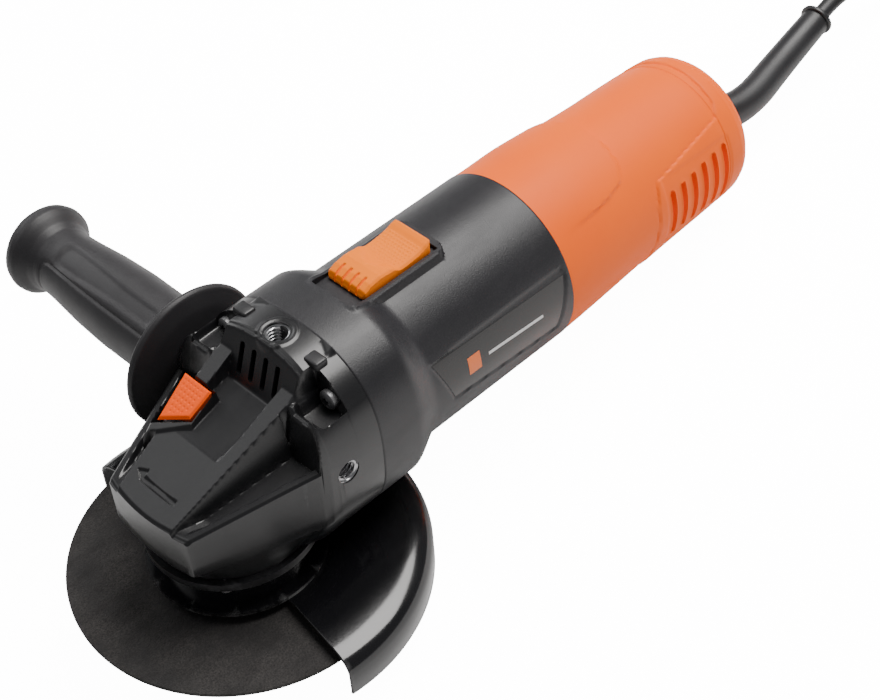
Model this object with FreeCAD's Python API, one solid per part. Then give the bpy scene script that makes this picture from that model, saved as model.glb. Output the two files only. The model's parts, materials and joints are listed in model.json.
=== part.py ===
import FreeCAD, Part
import math
import os

Vec = FreeCAD.Vector

# A 125 mm angle grinder lying on a bench, in millimetres.
# The pieces are drawn in the tool's own frame: the origin is where the spindle axis meets the
# armature axis, +X runs along the body to the rear, +Z runs up the spindle away from the disc,
# and the side handle points to +Y. The whole tool is then laid back onto the bench.

# How it lies: guard skirt and rear cover both touch the bench.
lie_angle = 9.06
spindle_x = -91.6
spindle_y = -33.5
spindle_height = 69.6

# Body
head_half = 39.0
head_power = 2.6
seam_front = 40.0
barrel_radius = 35.9
barrel_start = 71.0
seam_rear = 140.0
body_end = 252.3
wall = 2.6
ramp_angle = 25.44
ramp_height = 19.27
neck_radius = 27.0
guard_clear_radius = 34.6
screw_corner = 27.5
screw_corners = [(y, z) for y in (-screw_corner, screw_corner) for z in (-screw_corner, screw_corner)]

# Gears, straight bevels that share their apex at the origin
wheel_teeth = 33
pinion_teeth = 11
wheel_pitch_radius = 20.4
face_width = 4.6
backlash = 0.34

# Armature and motor
shaft_radius = 5.0
core_front = 78.0
core_rear = 118.0
core_radius = 19.4
stator_radius = 32.4
stator_flat = 29.4
commutator_radius = 12.0
rear_bearing_front = 166.0
front_bearing_front = 25.0
fan_front = 45.0
fan_radius = 31.0

# Spindle side
spindle_radius = 6.0
disc_radius = 62.5
disc_thickness = 1.6
disc_top = -47.2
guard_radius = 70.0
guard_top = -43.2
guard_bottom = -59.3
guard_wall = 1.4
guard_start_angle = -98.0
guard_sweep = 196.0
clamp_turn = -70.0
lower_bearing_top = -16.0
lower_bearing_height = 10.0
cover_top = -27.0
collar_bottom = -37.0

# Controls
lock_pin_x = 3.0
lock_pin_y = 12.8
lock_pin_radius = 2.0
slide_front = 63.0
slide_rear = 96.5
slide_half_width = 9.2
slide_base = 37.9
slide_top = 42.3
rod_height = 30.6

# Side handle and threads
handle_x = 24.5
handle_z = 4.0
handle_seat = 39.1
handle_end = 138.0
thread_radius = 3.4
thread_depth = 13.0
top_thread_x = 32.0

# Supply cord, points in the bench frame: where it leaves the sleeve, drops and reaches the coil
cord_radius = 3.5
sleeve_route = [
    Vec(155.0, -34.0, 27.0), Vec(186.0, -38.6, 21.5), Vec(212.0, -35.6, 21.0), Vec(238.5, -33.4, 23.0),
]
cord_route = [
    Vec(238.5, -33.4, 23.0), Vec(253.4, -32.2, 24.1), Vec(267.6, -33.6, 20.5), Vec(285.0, -36.8, 8.6),
    Vec(299.0, -39.6, 3.6), Vec(313.0, -41.2, 3.5), Vec(327.0, -41.5, 3.5),
]
coil_centre = Vec(327.0, -87.8, 0.0)
coil_turn_radius = 39.0
coil_wide = 21.5
coil_height = 20.5
plug_length = 36.0


def box(x0, x1, y0, y1, z0, z1):
    return Part.makeBox(x1 - x0, y1 - y0, z1 - z0, Vec(x0, y0, z0))


def rod_x(x0, x1, radius, y=0.0, z=0.0):
    return Part.makeCylinder(radius, x1 - x0, Vec(x0, y, z), Vec(1, 0, 0))


def rod_y(y0, y1, radius, x=0.0, z=0.0):
    return Part.makeCylinder(radius, y1 - y0, Vec(x, y0, z), Vec(0, 1, 0))


def rod_z(z0, z1, radius, x=0.0, y=0.0):
    return Part.makeCylinder(radius, z1 - z0, Vec(x, y, z0), Vec(0, 0, 1))


def ring_x(x0, x1, outer, inner):
    return rod_x(x0, x1, outer).cut(rod_x(x0 - 1, x1 + 1, inner))


def ring_z(z0, z1, outer, inner):
    return rod_z(z0, z1, outer).cut(rod_z(z0 - 1, z1 + 1, inner))


def both_sides(shape):
    # The same shape on +Y and on -Y, as two solids
    return [shape, shape.mirror(Vec(0, 0, 0), Vec(0, 1, 0))]


def outline_face(points):
    return Part.Face(Part.makePolygon(points + [points[0]]))


def side_prism(points, y0, y1):
    # A plate drawn in X and Z, from y0 to y1
    return outline_face([Vec(x, y0, z) for x, z in points]).extrude(Vec(0, y1 - y0, 0))


def plan_prism(points, z0, z1):
    # A plate drawn in X and Y, from z0 to z1
    return outline_face([Vec(x, y, z0) for x, y in points]).extrude(Vec(0, 0, z1 - z0))


def spun_x(points):
    # A closed outline of (x, radius) points turned about the armature axis
    return outline_face([Vec(x, 0, r) for x, r in points]).revolve(Vec(0, 0, 0), Vec(1, 0, 0), 360)


def spun_z(points):
    # A closed outline of (radius, z) points turned about the spindle axis
    return outline_face([Vec(r, 0, z) for r, z in points]).revolve(Vec(0, 0, 0), Vec(0, 0, 1), 360)


def keep_below(shape, point, normal):
    # Trim away what stands proud of the plane through the point
    reach = 400.0
    slab = Part.makeBox(reach, reach, reach, Vec(-reach / 2, -reach / 2, 0))
    slab.Placement = FreeCAD.Placement(point, FreeCAD.Rotation(Vec(0, 0, 1), normal))
    return shape.cut(slab)


def plane_normal(a, b, c):
    normal = (b - a).cross(c - a)
    normal.normalize()
    if normal.z < 0:
        normal = normal * -1
    return normal


def rounded_square(x, half, power):
    # The head's rear outline: between a circle (power 2) and a square, as a closed curve
    points = []
    for step in range(32):
        angle = 2 * math.pi * step / 32
        across = math.copysign(abs(math.cos(angle)) ** (2 / power), math.cos(angle))
        up = math.copysign(abs(math.sin(angle)) ** (2 / power), math.sin(angle))
        points.append(Vec(x, half * across, half * up))
    curve = Part.BSplineCurve()
    curve.interpolate(points, True)
    return Part.Wire(curve.toShape())


def lofted(sections):
    wires = [rounded_square(x, half, power) for x, half, power in sections]
    return Part.makeLoft(wires, True, True)


def ramp_at(x):
    return ramp_height + math.tan(math.radians(ramp_angle)) * x


# ---- Gear housing and what is fixed to it -------------------------------------------------------

def head_outside():
    nose_corner = Vec(-31.8, 19.6, 2.9)
    ridge_rear = Vec(22.4, 18.8, 28.6)
    facet_low = Vec(13.5, 22.5, 10.8)
    ramp_normal = Vec(-math.sin(math.radians(ramp_angle)), 0, math.cos(math.radians(ramp_angle)))
    ridge = box(-34.5, 26, -19.6, 19.6, -16, 32)
    ridge = keep_below(ridge, Vec(0, 0, ramp_height), ramp_normal)
    facet = box(-34.5, 24, -30, 30, -16, 32)
    for side in (1, -1):
        corner = Vec(nose_corner.x, side * nose_corner.y, nose_corner.z)
        rear = Vec(ridge_rear.x, side * ridge_rear.y, ridge_rear.z)
        low = Vec(facet_low.x, side * facet_low.y, facet_low.z)
        facet = keep_below(facet, corner, plane_normal(corner, rear, low))
    facet = keep_below(facet, Vec(0, 0, ramp_height), ramp_normal)
    shoulder = box(-34.5, 24, -38.5, 38.5, -27, 32)
    shoulder = keep_below(shoulder, Vec(-31.8, 0, 2.0), Vec(-0.19, 0, 1))
    head = shoulder.fuse([ridge, facet])
    head = head.common(nose_plan())
    head = trimmed_below(head)
    rear_block = lofted([(17, head_half, head_power), (seam_front, head_half, head_power)])
    above_vents = [(10, 21.5), (17, 21.5), (26.3, 39.5), (26.3, 50), (10, 50)]
    rear_block = rear_block.cut(side_prism(above_vents, -19, 19))
    for side in (1, -1):
        pocket = box(10, 31, min(side * 19, side * 50), max(side * 19, side * 50), 27, 50)
        well = rod_x(10, 31, 5.6, side * screw_corner, screw_corner)
        low_well = rod_x(10, 31, 5.6, side * screw_corner, -screw_corner)
        rear_block = rear_block.cut([pocket, well, low_well])
    rear_block = rear_block.cut(rod_z(-50, cover_top, guard_clear_radius))
    return head.fuse(rear_block)


def nose_plan():
    # The nose widens from a bowed front to the full head
    front = Part.Arc(Vec(-31.6, -21, -30), Vec(-34.4, 0, -30), Vec(-31.6, 21, -30)).toShape()
    corners = [Vec(-31.6, 21, -30), Vec(8, 35.5, -30), Vec(17, 38.4, -30), Vec(24, 38.6, -30)]
    right = [Vec(p.x, -p.y, p.z) for p in reversed(corners)]
    sides = Part.makePolygon(corners + right)
    return Part.Face(Part.Wire([front] + sides.Edges)).extrude(Vec(0, 0, 80))


def trimmed_below(head):
    # Under the nose the casting draws in towards the round neck
    head = keep_below(head, Vec(-33.5, 0, -15.5), Vec(-0.87, 0, -0.5))
    for side in (1, -1):
        head = keep_below(head, Vec(-31.6, side * 21, -15.5), Vec(-0.55, side * 0.66, -0.5))
        head = keep_below(head, Vec(8, side * 36, -15.5), Vec(-0.2, side * 0.8, -0.56))
    return head


def head_hollow():
    wheel_chamber = rod_z(cover_top - 1, -3.0, 23.6)
    dome = spun_z([(0, -3.5), (23.6, -3.5), (15, 2.5), (0, 2.5)])
    top_bush_pocket = rod_z(0, 13.0, 8.0)
    pinion_chamber = rod_x(4, 24.2, 10.2).fuse(rod_x(20, 30, 6.0))
    bearing_pocket = rod_x(front_bearing_front, 60, 13.0)
    air_way = lofted([(33.5, 35.6, head_power), (45, 35.6, head_power)]).cut(rod_x(30, 50, 16.0))
    for side_y in (1, -1):
        for side_z in (1, -1):
            air_way = air_way.cut(rod_x(30, 50, 6.4, side_y * screw_corner, side_z * screw_corner))
    upper_way = box(27.5, 34, -16.5, 16.5, 16.5, 34.0)
    return [wheel_chamber, dome, top_bush_pocket, pinion_chamber, bearing_pocket, air_way, upper_way]


def gear_housing():
    head = head_outside().cut(head_hollow())
    head = head.fuse([rod_z(24.0, 36.0, 6.6, top_thread_x)])
    head = head.cut([front_recess(), lock_well(), arrow_mark()])
    slots = [box(12, 30, y - 1.4, y + 1.4, 23.5, 34) for y in (-12, -4.6, 4.6, 12)]
    threads = [rod_z(25.0, 50, 5.0, top_thread_x)]
    threads += both_sides(rod_y(head_half - thread_depth, 50, 5.0, handle_x, handle_z))
    screw_ways = [rod_x(20, 50, 2.15, y, z) for y, z in screw_corners]
    cover_ways = [rod_z(cover_top - 1, -17, 1.6, x, y) for x, y in cover_screw_places()]
    return head.cut(slots + threads + screw_ways + cover_ways + rim_plug_seats())


def front_recess():
    # The wedge-shaped well in the ramp, in front of the vent slots
    floor = side_prism([(-8.6, 15.1), (17.2, 21.5), (17.2, 45), (-8.6, 45)], -9.6, 9.6)
    return floor


def lock_outline(grow):
    # The lock button seen from above; grow opens it out to make the well it moves in
    corners = [(7.1 + grow, 22.2 + grow), (6.9 + grow, 8.0 - grow), (-2.9 - 0.4 * grow, 7.8 - grow),
               (-9.4 - 1.3 * grow, 18.9 + 0.4 * grow)]
    return corners


def lock_well():
    button_well = plan_prism(lock_outline(0.35), 11.0, 60)
    pin_way = rod_z(-8, 20, lock_pin_radius + 0.08, lock_pin_x, lock_pin_y)
    return button_well.fuse(pin_way)


def arrow_mark():
    # Shallow mark that shows which way the disc turns
    height = ramp_at(-25.5)
    shaft = box(-26.6, -24.6, -8, 8, height - 0.6, height + 6)
    head = plan_prism([(-26.6, 8), (-26.6, 12.4), (-22.6, 8), (-24.6, 8)], height - 0.6, height + 6)
    return shaft.fuse(head)


def rim_plug_seats():
    return both_sides(box(30.0, 35.4, 15.2, 21.4, 34.6, 50))


def rim_plugs():
    plug = box(30.1, 35.3, 15.3, 21.3, 34.7, 38.4)
    vertical = [edge for edge in plug.Edges if abs(edge.Vertexes[0].Z - edge.Vertexes[-1].Z) > 1]
    plug = plug.makeFillet(1.6, vertical)
    return both_sides(plug)


def thread_inserts():
    top = ring_z(25.2, 38.7, 5.0, thread_radius)
    top.translate(Vec(top_thread_x, 0, 0))
    side = rod_y(head_half - thread_depth, handle_seat, 5.0, handle_x, handle_z)
    side = side.cut(rod_y(head_half - thread_depth - 1, 60, thread_radius, handle_x, handle_z))
    return [top] + both_sides(side)


def screw_x(x_seat, x_tip, y, z, head_radius, shank_radius, head_length):
    head = rod_x(x_seat - head_length, x_seat, head_radius, y, z)
    socket = rod_x(x_seat - head_length - 1, x_seat - 1.2, head_radius * 0.5, y, z)
    return head.cut(socket).fuse(rod_x(x_seat, x_tip, shank_radius, y, z))


def housing_screws():
    places = [(y, z) for y in (-screw_corner, screw_corner) for z in (-screw_corner, screw_corner)]
    return [screw_x(31, 56, y, z, 3.9, 2.0, 3.4) for y, z in places]


def cover_screw_places():
    return [(28.2 * math.cos(a), 28.2 * math.sin(a)) for a in (math.radians(45 + 90 * n) for n in range(4))]


def bearing_cover():
    # Lower cover of the gear housing with the neck that carries the guard
    flange = ring_z(cover_top - 3.2, cover_top, 32.0, 12.0)
    neck = ring_z(collar_bottom, cover_top - 3.0, neck_radius - 2.4, 12.0)
    lip = ring_z(collar_bottom, collar_bottom + 1.6, neck_radius - 1.6, 12.0)
    cover = flange.fuse([neck, lip])
    bearing_seat = rod_z(lower_bearing_top - lower_bearing_height, -10, 16.0)
    rise = ring_z(cover_top - 1, -17.0, 22.0, 16.0)
    cover = cover.fuse(rise).cut([bearing_seat, rod_z(-60, 0, 9.0)])
    ways = [rod_z(-40, 0, 1.6, x, y) for x, y in cover_screw_places()]
    return cover.cut(ways)


def cover_screws():
    screws = []
    for x, y in cover_screw_places():
        shank = rod_z(cover_top - 3.2, -18, 1.5, x, y)
        screws.append(shank.fuse(rod_z(cover_top - 5.2, cover_top - 3.2, 2.9, x, y)))
    return screws


# ---- Motor housing and rear cover ---------------------------------------------------------------

def barrel_sections(inset):
    return [
        (seam_front, head_half - inset, head_power), (54.0, head_half - inset, head_power),
        (60.0, head_half - 0.6 - inset, 2.45), (66.0, 37.2 - inset, 2.15),
        (barrel_start, barrel_radius - inset, 2.0), (seam_rear, barrel_radius - inset, 2.0),
    ]


def motor_housing():
    shell = lofted(barrel_sections(0)).cut(lofted(barrel_sections(wall)))
    seat = box(54, 103, -14, 14, 34.6, 37.6).common(rod_x(50, 110, 39.2))
    shell = shell.fuse(seat)
    track = box(56.4, 101, -11.6, 11.6, 36.4, 60)
    stem_way = box(70, 92.5, -4.2, 4.2, 25, 60)
    shell = shell.cut([track, badge_seat()])
    bosses = [rod_x(seam_front, 60, 5.4, y, z) for y, z in screw_corners]
    boss_group = bosses[0].fuse(bosses[1:]).common(lofted(barrel_sections(1.0)))
    shell = shell.fuse([boss_group, ring_x(71, 75, barrel_radius - 1, 28.5), brush_cage()])
    shell = shell.cut([rod_x(30, 58, 2.05, y, z) for y, z in screw_corners])
    rod_way = box(60, 200, -4.6, 4.6, 26.4, 33.8)
    return shell.cut([rod_way, stem_way, fan_room()] + stator_screw_ways())


def fan_room():
    return rod_x(30, 58, fan_radius + 1.2)


def stator_screw_places():
    return [(28.0, -10.0), (-28.0, -10.0)]


def stator_screw_ways():
    return [rod_x(70, 80, 1.6, y, z) for y, z in stator_screw_places()]


def brush_cage():
    # Spider behind the motor that holds the brushes and the rear bearing
    ring = ring_x(seam_rear - 6, seam_rear, barrel_radius - wall + 0.2, 30.6)
    spigot = ring_x(seam_rear - 1, seam_rear + 3, barrel_radius - wall - 0.2, 30.6)
    arms = []
    for z0, z1 in ((-28.8, -25.0), (22.5, 26.0)):
        arms.append(box(seam_rear - 6, rear_bearing_front + 8, -11, 11, z0, z1))
    feet = [box(seam_rear - 6, seam_rear, -11, 11, z0, z1) for z0, z1 in ((-33, -25), (22.5, 32.5))]
    web = rod_x(rear_bearing_front - 2, rear_bearing_front + 8, 12.6)
    plate = box(rear_bearing_front + 2, rear_bearing_front + 8, -11, 11, -28.8, 26)
    lugs = box(rear_bearing_front + 2, rear_bearing_front + 8, -21, 21, 8, 16)
    side_arms = both_sides(box(seam_rear - 6, 156, 27.8, 30.8, -7.0, 7.0))
    cage = ring.fuse([spigot, web, plate, lugs] + arms + feet + side_arms)
    bearing_room = rod_x(rear_bearing_front, rear_bearing_front + 6.2, 11.0)
    ways = [rod_x(rear_bearing_front, 200, 1.6, y, z) for y, z in rear_screw_places()]
    return cage.cut([bearing_room, rod_x(100, 200, 6.0)] + ways)


def badge_seat():
    # Recess on the -Y side for the badge plate
    band = ring_x(76, 136, 50, barrel_radius - 0.7)
    window = side_prism([(78, -9), (136, -9), (136, 15.5), (84, 15.5), (76, 8)], -50, -20)
    return band.common(window)


def badge_plate():
    band = ring_x(76, 136, barrel_radius - 0.1, barrel_radius - 0.7)
    window = side_prism([(78.2, -8.8), (135.8, -8.8), (135.8, 15.3), (84.2, 15.3), (76.2, 8)], -50, -20)
    return band.common(window)


def rear_profile(inset):
    # Radius of the rear cover along the body
    return [
        (seam_rear, barrel_radius - inset), (155, 35.2 - inset), (172, 34.4 - inset), (190, 33.2 - inset),
        (207, 32.4 - inset), (225, 31.8 - inset), (242, 31.0 - inset), (248, 29.4 - inset), (251, 26.6 - inset),
        (body_end - inset, 23.0 - inset),
    ]


def rear_cover():
    outside = spun_x([(seam_rear, 0)] + rear_profile(0) + [(body_end, 0)])
    inside = spun_x([(seam_rear - 1, 0), (seam_rear - 1, barrel_radius - wall)] + rear_profile(wall)
                    + [(body_end - wall, 0)])
    shell = outside.cut(inside)
    bosses = [rod_x(205, body_end - 1, 4.6, y, z) for y, z in rear_screw_places()]
    shell = shell.fuse([boss.common(outside) for boss in bosses])
    shell = shell.fuse(box(224, 240, -12, 12, -32, -7.6).common(outside))
    shell = shell.cut([rod_z(-16, 0, 1.6, 232, y) for y in (-8.5, 8.5)])
    ways = [rod_x(200, 260, 1.6, y, z) for y, z in rear_screw_places()]
    heads = [rod_x(body_end - 4.0, 260, 3.4, y, z) for y, z in rear_screw_places()]
    inlet = [rod_x(240, 260, 7.9, 0, -4.0)]
    return shell.cut(ways + heads + inlet + vent_slots())


def rear_screw_places():
    return [(17.0, 12.0), (-17.0, 12.0)]


def vent_slots():
    slots = []
    for number in range(6):
        centre = 201.0 + 6.4 * number
        slot = box(centre - 1.5, centre + 1.5, 20, 40, -12.5, 11.5)
        slots += both_sides(slot)
    return slots


def rear_screws():
    screws = []
    for y, z in rear_screw_places():
        shank = rod_x(rear_bearing_front + 3, body_end - 4.0, 1.5, y, z)
        screws.append(shank.fuse(rod_x(body_end - 4.0, body_end - 1.6, 3.2, y, z)))
    return screws


def fan_baffle():
    plate = ring_x(58.2, 60.0, 34.0, 22.5)
    funnel = ring_x(60.0, 66.0, 24.0, 22.5)
    baffle = plate.fuse(funnel)
    return baffle.cut([box(50, 80, -5, 5, rod_height - 2, 40)]
                      + [rod_x(30, 80, 6.0, y, z) for y in (-screw_corner, screw_corner)
                         for z in (-screw_corner, screw_corner)])


# ---- Motor ---------------------------------------------------------------------------------------

def stator_core():
    core = ring_x(75.2, 121, stator_radius, core_radius + 0.9)
    core = core.common(box(60, 130, -50, 50, -stator_flat, stator_flat))
    slots = []
    for side in (1, -1):
        slots.append(box(60, 130, -50, 50, -50, 50).common(ring_x(70, 130, 27.6, 20)).common(
            side_wedge(side)))
    ways = [rod_x(70, 130, 1.6, y, z) for y, z in stator_screw_places()]
    return core.cut(slots + ways)


def side_wedge(side):
    # The winding slot: a sector between the poles
    low, high = math.radians(-24), math.radians(24)
    reach = 45.0
    points = [(0.0, 0.0), (reach * math.cos(low), reach * math.sin(low)),
              (reach * math.cos(high), reach * math.sin(high))]
    face = outline_face([Vec(60, side * y, z) for y, z in points])
    return face.extrude(Vec(90, 0, 0))


def stator_windings():
    bundles = []
    for side in (1, -1):
        band = ring_x(75.2, 121, 27.3, 21.2).common(narrow_wedge(side))
        front = ring_x(66.5, 75.0, 25.0, 20.4)
        rear = ring_x(121.2, 131, 25.0, 20.4)
        half = box(60, 140, min(0.6 * side, 50 * side), max(0.6 * side, 50 * side), -50, 50)
        ends = front.fuse(rear).common(half)
        link = ring_x(74.9, 121.3, 24.8, 21.4).common(narrow_wedge(side))
        bundles.append(ends.fuse([band, link]))
    return bundles


def narrow_wedge(side):
    low, high = math.radians(-22), math.radians(22)
    reach = 45.0
    points = [(0.0, 0.0), (reach * math.cos(low), reach * math.sin(low)),
              (reach * math.cos(high), reach * math.sin(high))]
    face = outline_face([Vec(60, side * y, z) for y, z in points])
    return face.extrude(Vec(90, 0, 0))


def stator_screws():
    screws = []
    for y, z in stator_screw_places():
        shank = rod_x(72, 121, 1.5, y, z)
        screws.append(shank.fuse(rod_x(121, 123.5, 2.8, y, z)))
    return screws


def armature_shaft():
    pieces = [rod_x(12.0, 33.2, 4.0), rod_x(33.2, 70, 5.0), rod_x(70, 134, shaft_radius),
              rod_x(134, rear_bearing_front, 4.4), rod_x(rear_bearing_front, 172.4, 3.5)]
    return pieces[0].fuse(pieces[1:])


def armature_core():
    core = ring_x(core_front, core_rear, core_radius, shaft_radius)
    slots = []
    for number in range(12):
        slot = rod_x(core_front - 1, core_rear + 1, 2.3, 14.2, 0)
        mouth = box(core_front - 1, core_rear + 1, 14, 25, -0.9, 0.9)
        slot = slot.fuse(mouth)
        slot.rotate(Vec(0, 0, 0), Vec(1, 0, 0), 30 * number)
        slots.append(slot)
    return core.cut(slots)


def armature_windings():
    front = spun_x([(68.5, 5.2), (core_front, 5.2), (core_front, 16.8), (71.5, 16.0), (68.5, 12.5)])
    rear = spun_x([(core_rear, 5.2), (130, 5.2), (130, 11.0), (126, 15.6), (core_rear, 16.8)])
    return [front, rear]


def commutator():
    ring = ring_x(134.0, 152.0, commutator_radius, 4.4)
    slits = []
    for number in range(24):
        slit = box(133, 153, 10.8, 13, -0.2, 0.2)
        slit.rotate(Vec(0, 0, 0), Vec(1, 0, 0), 15 * number)
        slits.append(slit)
    return ring.cut(slits)


def fan():
    hub = ring_x(fan_front, fan_front + 11, 9.0, 5.0)
    back = ring_x(fan_front + 9.2, fan_front + 11, fan_radius, 8.0)
    blades = []
    for number in range(17):
        blade = box(fan_front + 1, fan_front + 10, 14.0, fan_radius - 0.6, -0.8, 0.8)
        blade.rotate(Vec(0, 14, 0), Vec(1, 0, 0), 24)
        blade.rotate(Vec(0, 0, 0), Vec(1, 0, 0), 360 * number / 17)
        blades.append(blade)
    return hub.fuse([back] + blades)


def ball_bearing_x(x0, x1, bore, outside):
    # Outer ring, inner ring with its balls, and the seals that ride in the outer ring
    race_in = bore + 0.22 * (outside - bore)
    race_out = bore + 0.74 * (outside - bore)
    outer = ring_x(x0, x1, outside, race_out)
    seals = [ring_x(x, x + 0.6, race_out, race_in + 0.15) for x in (x0 + 0.3, x1 - 0.9)]
    inner = ring_x(x0, x1, race_in, bore)
    return outer.fuse(seals), inner


def bearing_balls_x(x0, x1, bore, outside, count):
    race_in = bore + 0.22 * (outside - bore)
    race_out = bore + 0.74 * (outside - bore)
    radius = (race_out - race_in) / 2 - 0.03
    middle = (race_out + race_in) / 2
    balls = []
    for number in range(count):
        angle = 2 * math.pi * number / count
        place = Vec((x0 + x1) / 2, middle * math.cos(angle), middle * math.sin(angle))
        balls.append(Part.makeSphere(radius, place))
    return balls


def turned_down(shapes):
    # Stand a piece drawn about the armature axis on the spindle axis
    for shape in shapes:
        shape.rotate(Vec(0, 0, 0), Vec(0, 1, 0), 90)
    return shapes


def rear_bearing_sleeve():
    return ring_x(rear_bearing_front, rear_bearing_front + 6, 11.0, 9.5)


def brush_box():
    outer = box(139.5, 148.5, 14.0, 27.8, -5.2, 5.2)
    hollow = box(141.4, 146.6, 13, 27.0, -4.1, 4.1)
    return outer.cut(hollow)


def brush(side):
    block = box(141.5, 146.5, 12.3, 21.5, -4.0, 4.0)
    block = block.cut(rod_x(130, 160, commutator_radius + 0.12))
    return block if side > 0 else block.mirror(Vec(0, 0, 0), Vec(0, 1, 0))


def brush_spring(side):
    spring = rod_y(21.5, 27.0, 2.2, 144.0, 0).cut(rod_y(21, 28, 1.5, 144.0, 0))
    return spring if side > 0 else spring.mirror(Vec(0, 0, 0), Vec(0, 1, 0))


def switch_module():
    body = box(190, 216, -8, 8, 4, 24)
    terminals = box(216, 221, -5, -3, 8, 12).fuse(box(216, 221, 3, 5, 8, 12))
    body = body.fuse(terminals)
    return body.cut(box(184, 198, -5.2, 5.2, 20.8, 26))


def capacitor():
    body = box(184, 206, -8.5, 8.5, -16, -6)
    return body.makeFillet(1.5, body.Edges)


def lead(points, radius):
    # A wire of straight runs joined by tangent arcs
    return Part.Wire(path_edges(points)).makePipe(round_face(points, radius))


def round_face(points, radius):
    return Part.Face(Part.Wire(Part.makeCircle(radius, points[0], points[1] - points[0])))


def path_edges(points, printed=None):
    edges = []
    start = points[0]
    for before, corner, after in zip(points, points[1:], points[2:]):
        into = corner - before
        away = after - corner
        turn = into.getAngle(away)
        shorter = min(into.Length, away.Length)
        radius = 0.45 * shorter / math.tan(turn / 2)
        if printed is not None:
            printed.append(round(radius, 1))
        into.normalize()
        away.normalize()
        first = corner - into * (0.45 * shorter)
        last = corner + away * (0.45 * shorter)
        inwards = away - into
        inwards.normalize()
        middle = corner + inwards * (radius / math.cos(turn / 2) - radius)
        edges.append(Part.LineSegment(start, first).toShape())
        edges.append(Part.Arc(first, middle, last).toShape())
        start = last
    edges.append(Part.LineSegment(start, points[-1]).toShape())
    return edges


def wiring():
    paths = []
    for side in (1, -1):
        paths.append([Vec(221.8, 4 * side, 11), Vec(227, 11 * side, 6), Vec(214, 18 * side, -1),
                      Vec(190, 20 * side, -8), Vec(165, 22 * side, -9), Vec(150, 24.5 * side, -8.5)])
        paths.append([Vec(212.4, 2 * side, -4), Vec(206.5, 3 * side, -3), Vec(203, 8 * side, 0.5),
                      Vec(208, 11.5 * side, 4), Vec(215.5, 10.8 * side, 7), Vec(219.5, 6.4 * side, 9)])
    sheath = rod_x(212.6, 249.0, cord_radius, 0, -4.0)
    return [lead(points, 0.9) for points in paths] + [sheath]


def cord_clamp():
    # Strap across the cord with its two screws, which go down into the rear cover's block
    strap = box(228, 236, -12, 12, -0.5, 1.6)
    screws = [rod_z(-15, -0.5, 1.5, 232, y).fuse(rod_z(1.6, 3.2, 2.7, 232, y)) for y in (-8.5, 8.5)]
    return strap.fuse(screws)


# ---- Controls -------------------------------------------------------------------------------------

def slide_button():
    outline = [(slide_front, slide_base), (slide_front + 1.5, 40.6), (slide_front + 7, slide_top),
               (slide_front + 12, slide_top - 0.3), (slide_front + 16, slide_top - 1.4),
               (slide_rear - 10, slide_top - 1.9),
               (slide_rear - 3, slide_top - 1.6), (slide_rear, 39.4), (slide_rear, slide_base)]
    cap = side_prism(outline, -slide_half_width, slide_half_width)
    starts = [slide_front + 3.0, slide_front + 5.2, slide_front + 7.4]
    grooves = [box(x, x + 0.9, -7.4, 7.4, 41.2, 50) for x in starts]
    foot = box(slide_front + 4, slide_rear - 4, -6.5, 6.5, 36.7, slide_base)
    stem = box(79, 91, -3.6, 3.6, rod_height + 1.0, 37.2)
    return cap.cut(grooves).fuse([foot, stem])


def link_rod():
    low = rod_height - 3.2
    outline = [(79, rod_height), (127.5, rod_height), (134.5, low), (194, low), (194, 21.6), (196, 21.6),
               (196, low + 1.0),
               (134.9, low + 1.0), (127.9, rod_height + 1.0), (79, rod_height + 1.0)]
    return side_prism(outline, -3.2, 3.2)


def lock_button():
    top_tilt = Vec(-math.sin(math.radians(ramp_angle)), 0, math.cos(math.radians(ramp_angle)))
    button = plan_prism(lock_outline(0.0), 15.6, 60)
    return keep_below(button, Vec(0, 0, ramp_height + 1.0), top_tilt)


def lock_pin():
    pin = rod_z(-7.3, 15.6, lock_pin_radius, lock_pin_x, lock_pin_y)
    return pin


def lock_spring():
    spring = rod_z(11.0, 15.5, 3.3, lock_pin_x, lock_pin_y)
    return spring.cut(rod_z(10, 16, 2.5, lock_pin_x, lock_pin_y))


# ---- Spindle, gears, guard and disc ---------------------------------------------------------------

def bevel_teeth(teeth, cone_angle, thick_share, tall_up, tall_down):
    # Straight teeth about +Z, pointing away from the axis, apex at the origin. Each tooth is a ruled
    # wedge between its small and its large end; its flanks lean by the pressure angle.
    cone_far = wheel_pitch_radius / math.sin(math.atan(wheel_teeth / pinion_teeth))
    cone_near = cone_far - face_width
    lean = math.tan(math.radians(20))
    wires = []
    for distance in (cone_near, cone_far):
        scale = distance / cone_far
        radius = distance * math.sin(cone_angle)
        height = distance * math.cos(cone_angle)
        outward = Vec(math.cos(cone_angle), 0, -math.sin(cone_angle))
        middle = Vec(radius, 0, height)
        half_pitch = math.pi * radius / teeth / 2 * thick_share
        corners = []
        for rise, sign in ((-tall_down, -1), (tall_up, -1), (tall_up, 1), (-tall_down, 1)):
            half = half_pitch - lean * rise * scale
            corners.append(middle + outward * (rise * scale) + Vec(0, sign * half, 0))
        wires.append(Part.makePolygon(corners + [corners[0]]))
    tooth = Part.makeLoft(wires, True, True)
    ring = []
    for number in range(teeth):
        copy = tooth.copy()
        copy.rotate(Vec(0, 0, 0), Vec(0, 0, 1), 360 * number / teeth)
        ring.append(copy)
    return ring


def tooth_height():
    return wheel_pitch_radius / wheel_teeth * 2


def cone_point(distance, cone_angle, drop):
    # A point in the axial plane on the cone, moved down towards the tooth root
    radius = distance * math.sin(cone_angle) - drop * math.cos(cone_angle)
    height = distance * math.cos(cone_angle) + drop * math.sin(cone_angle)
    return radius, height


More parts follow.
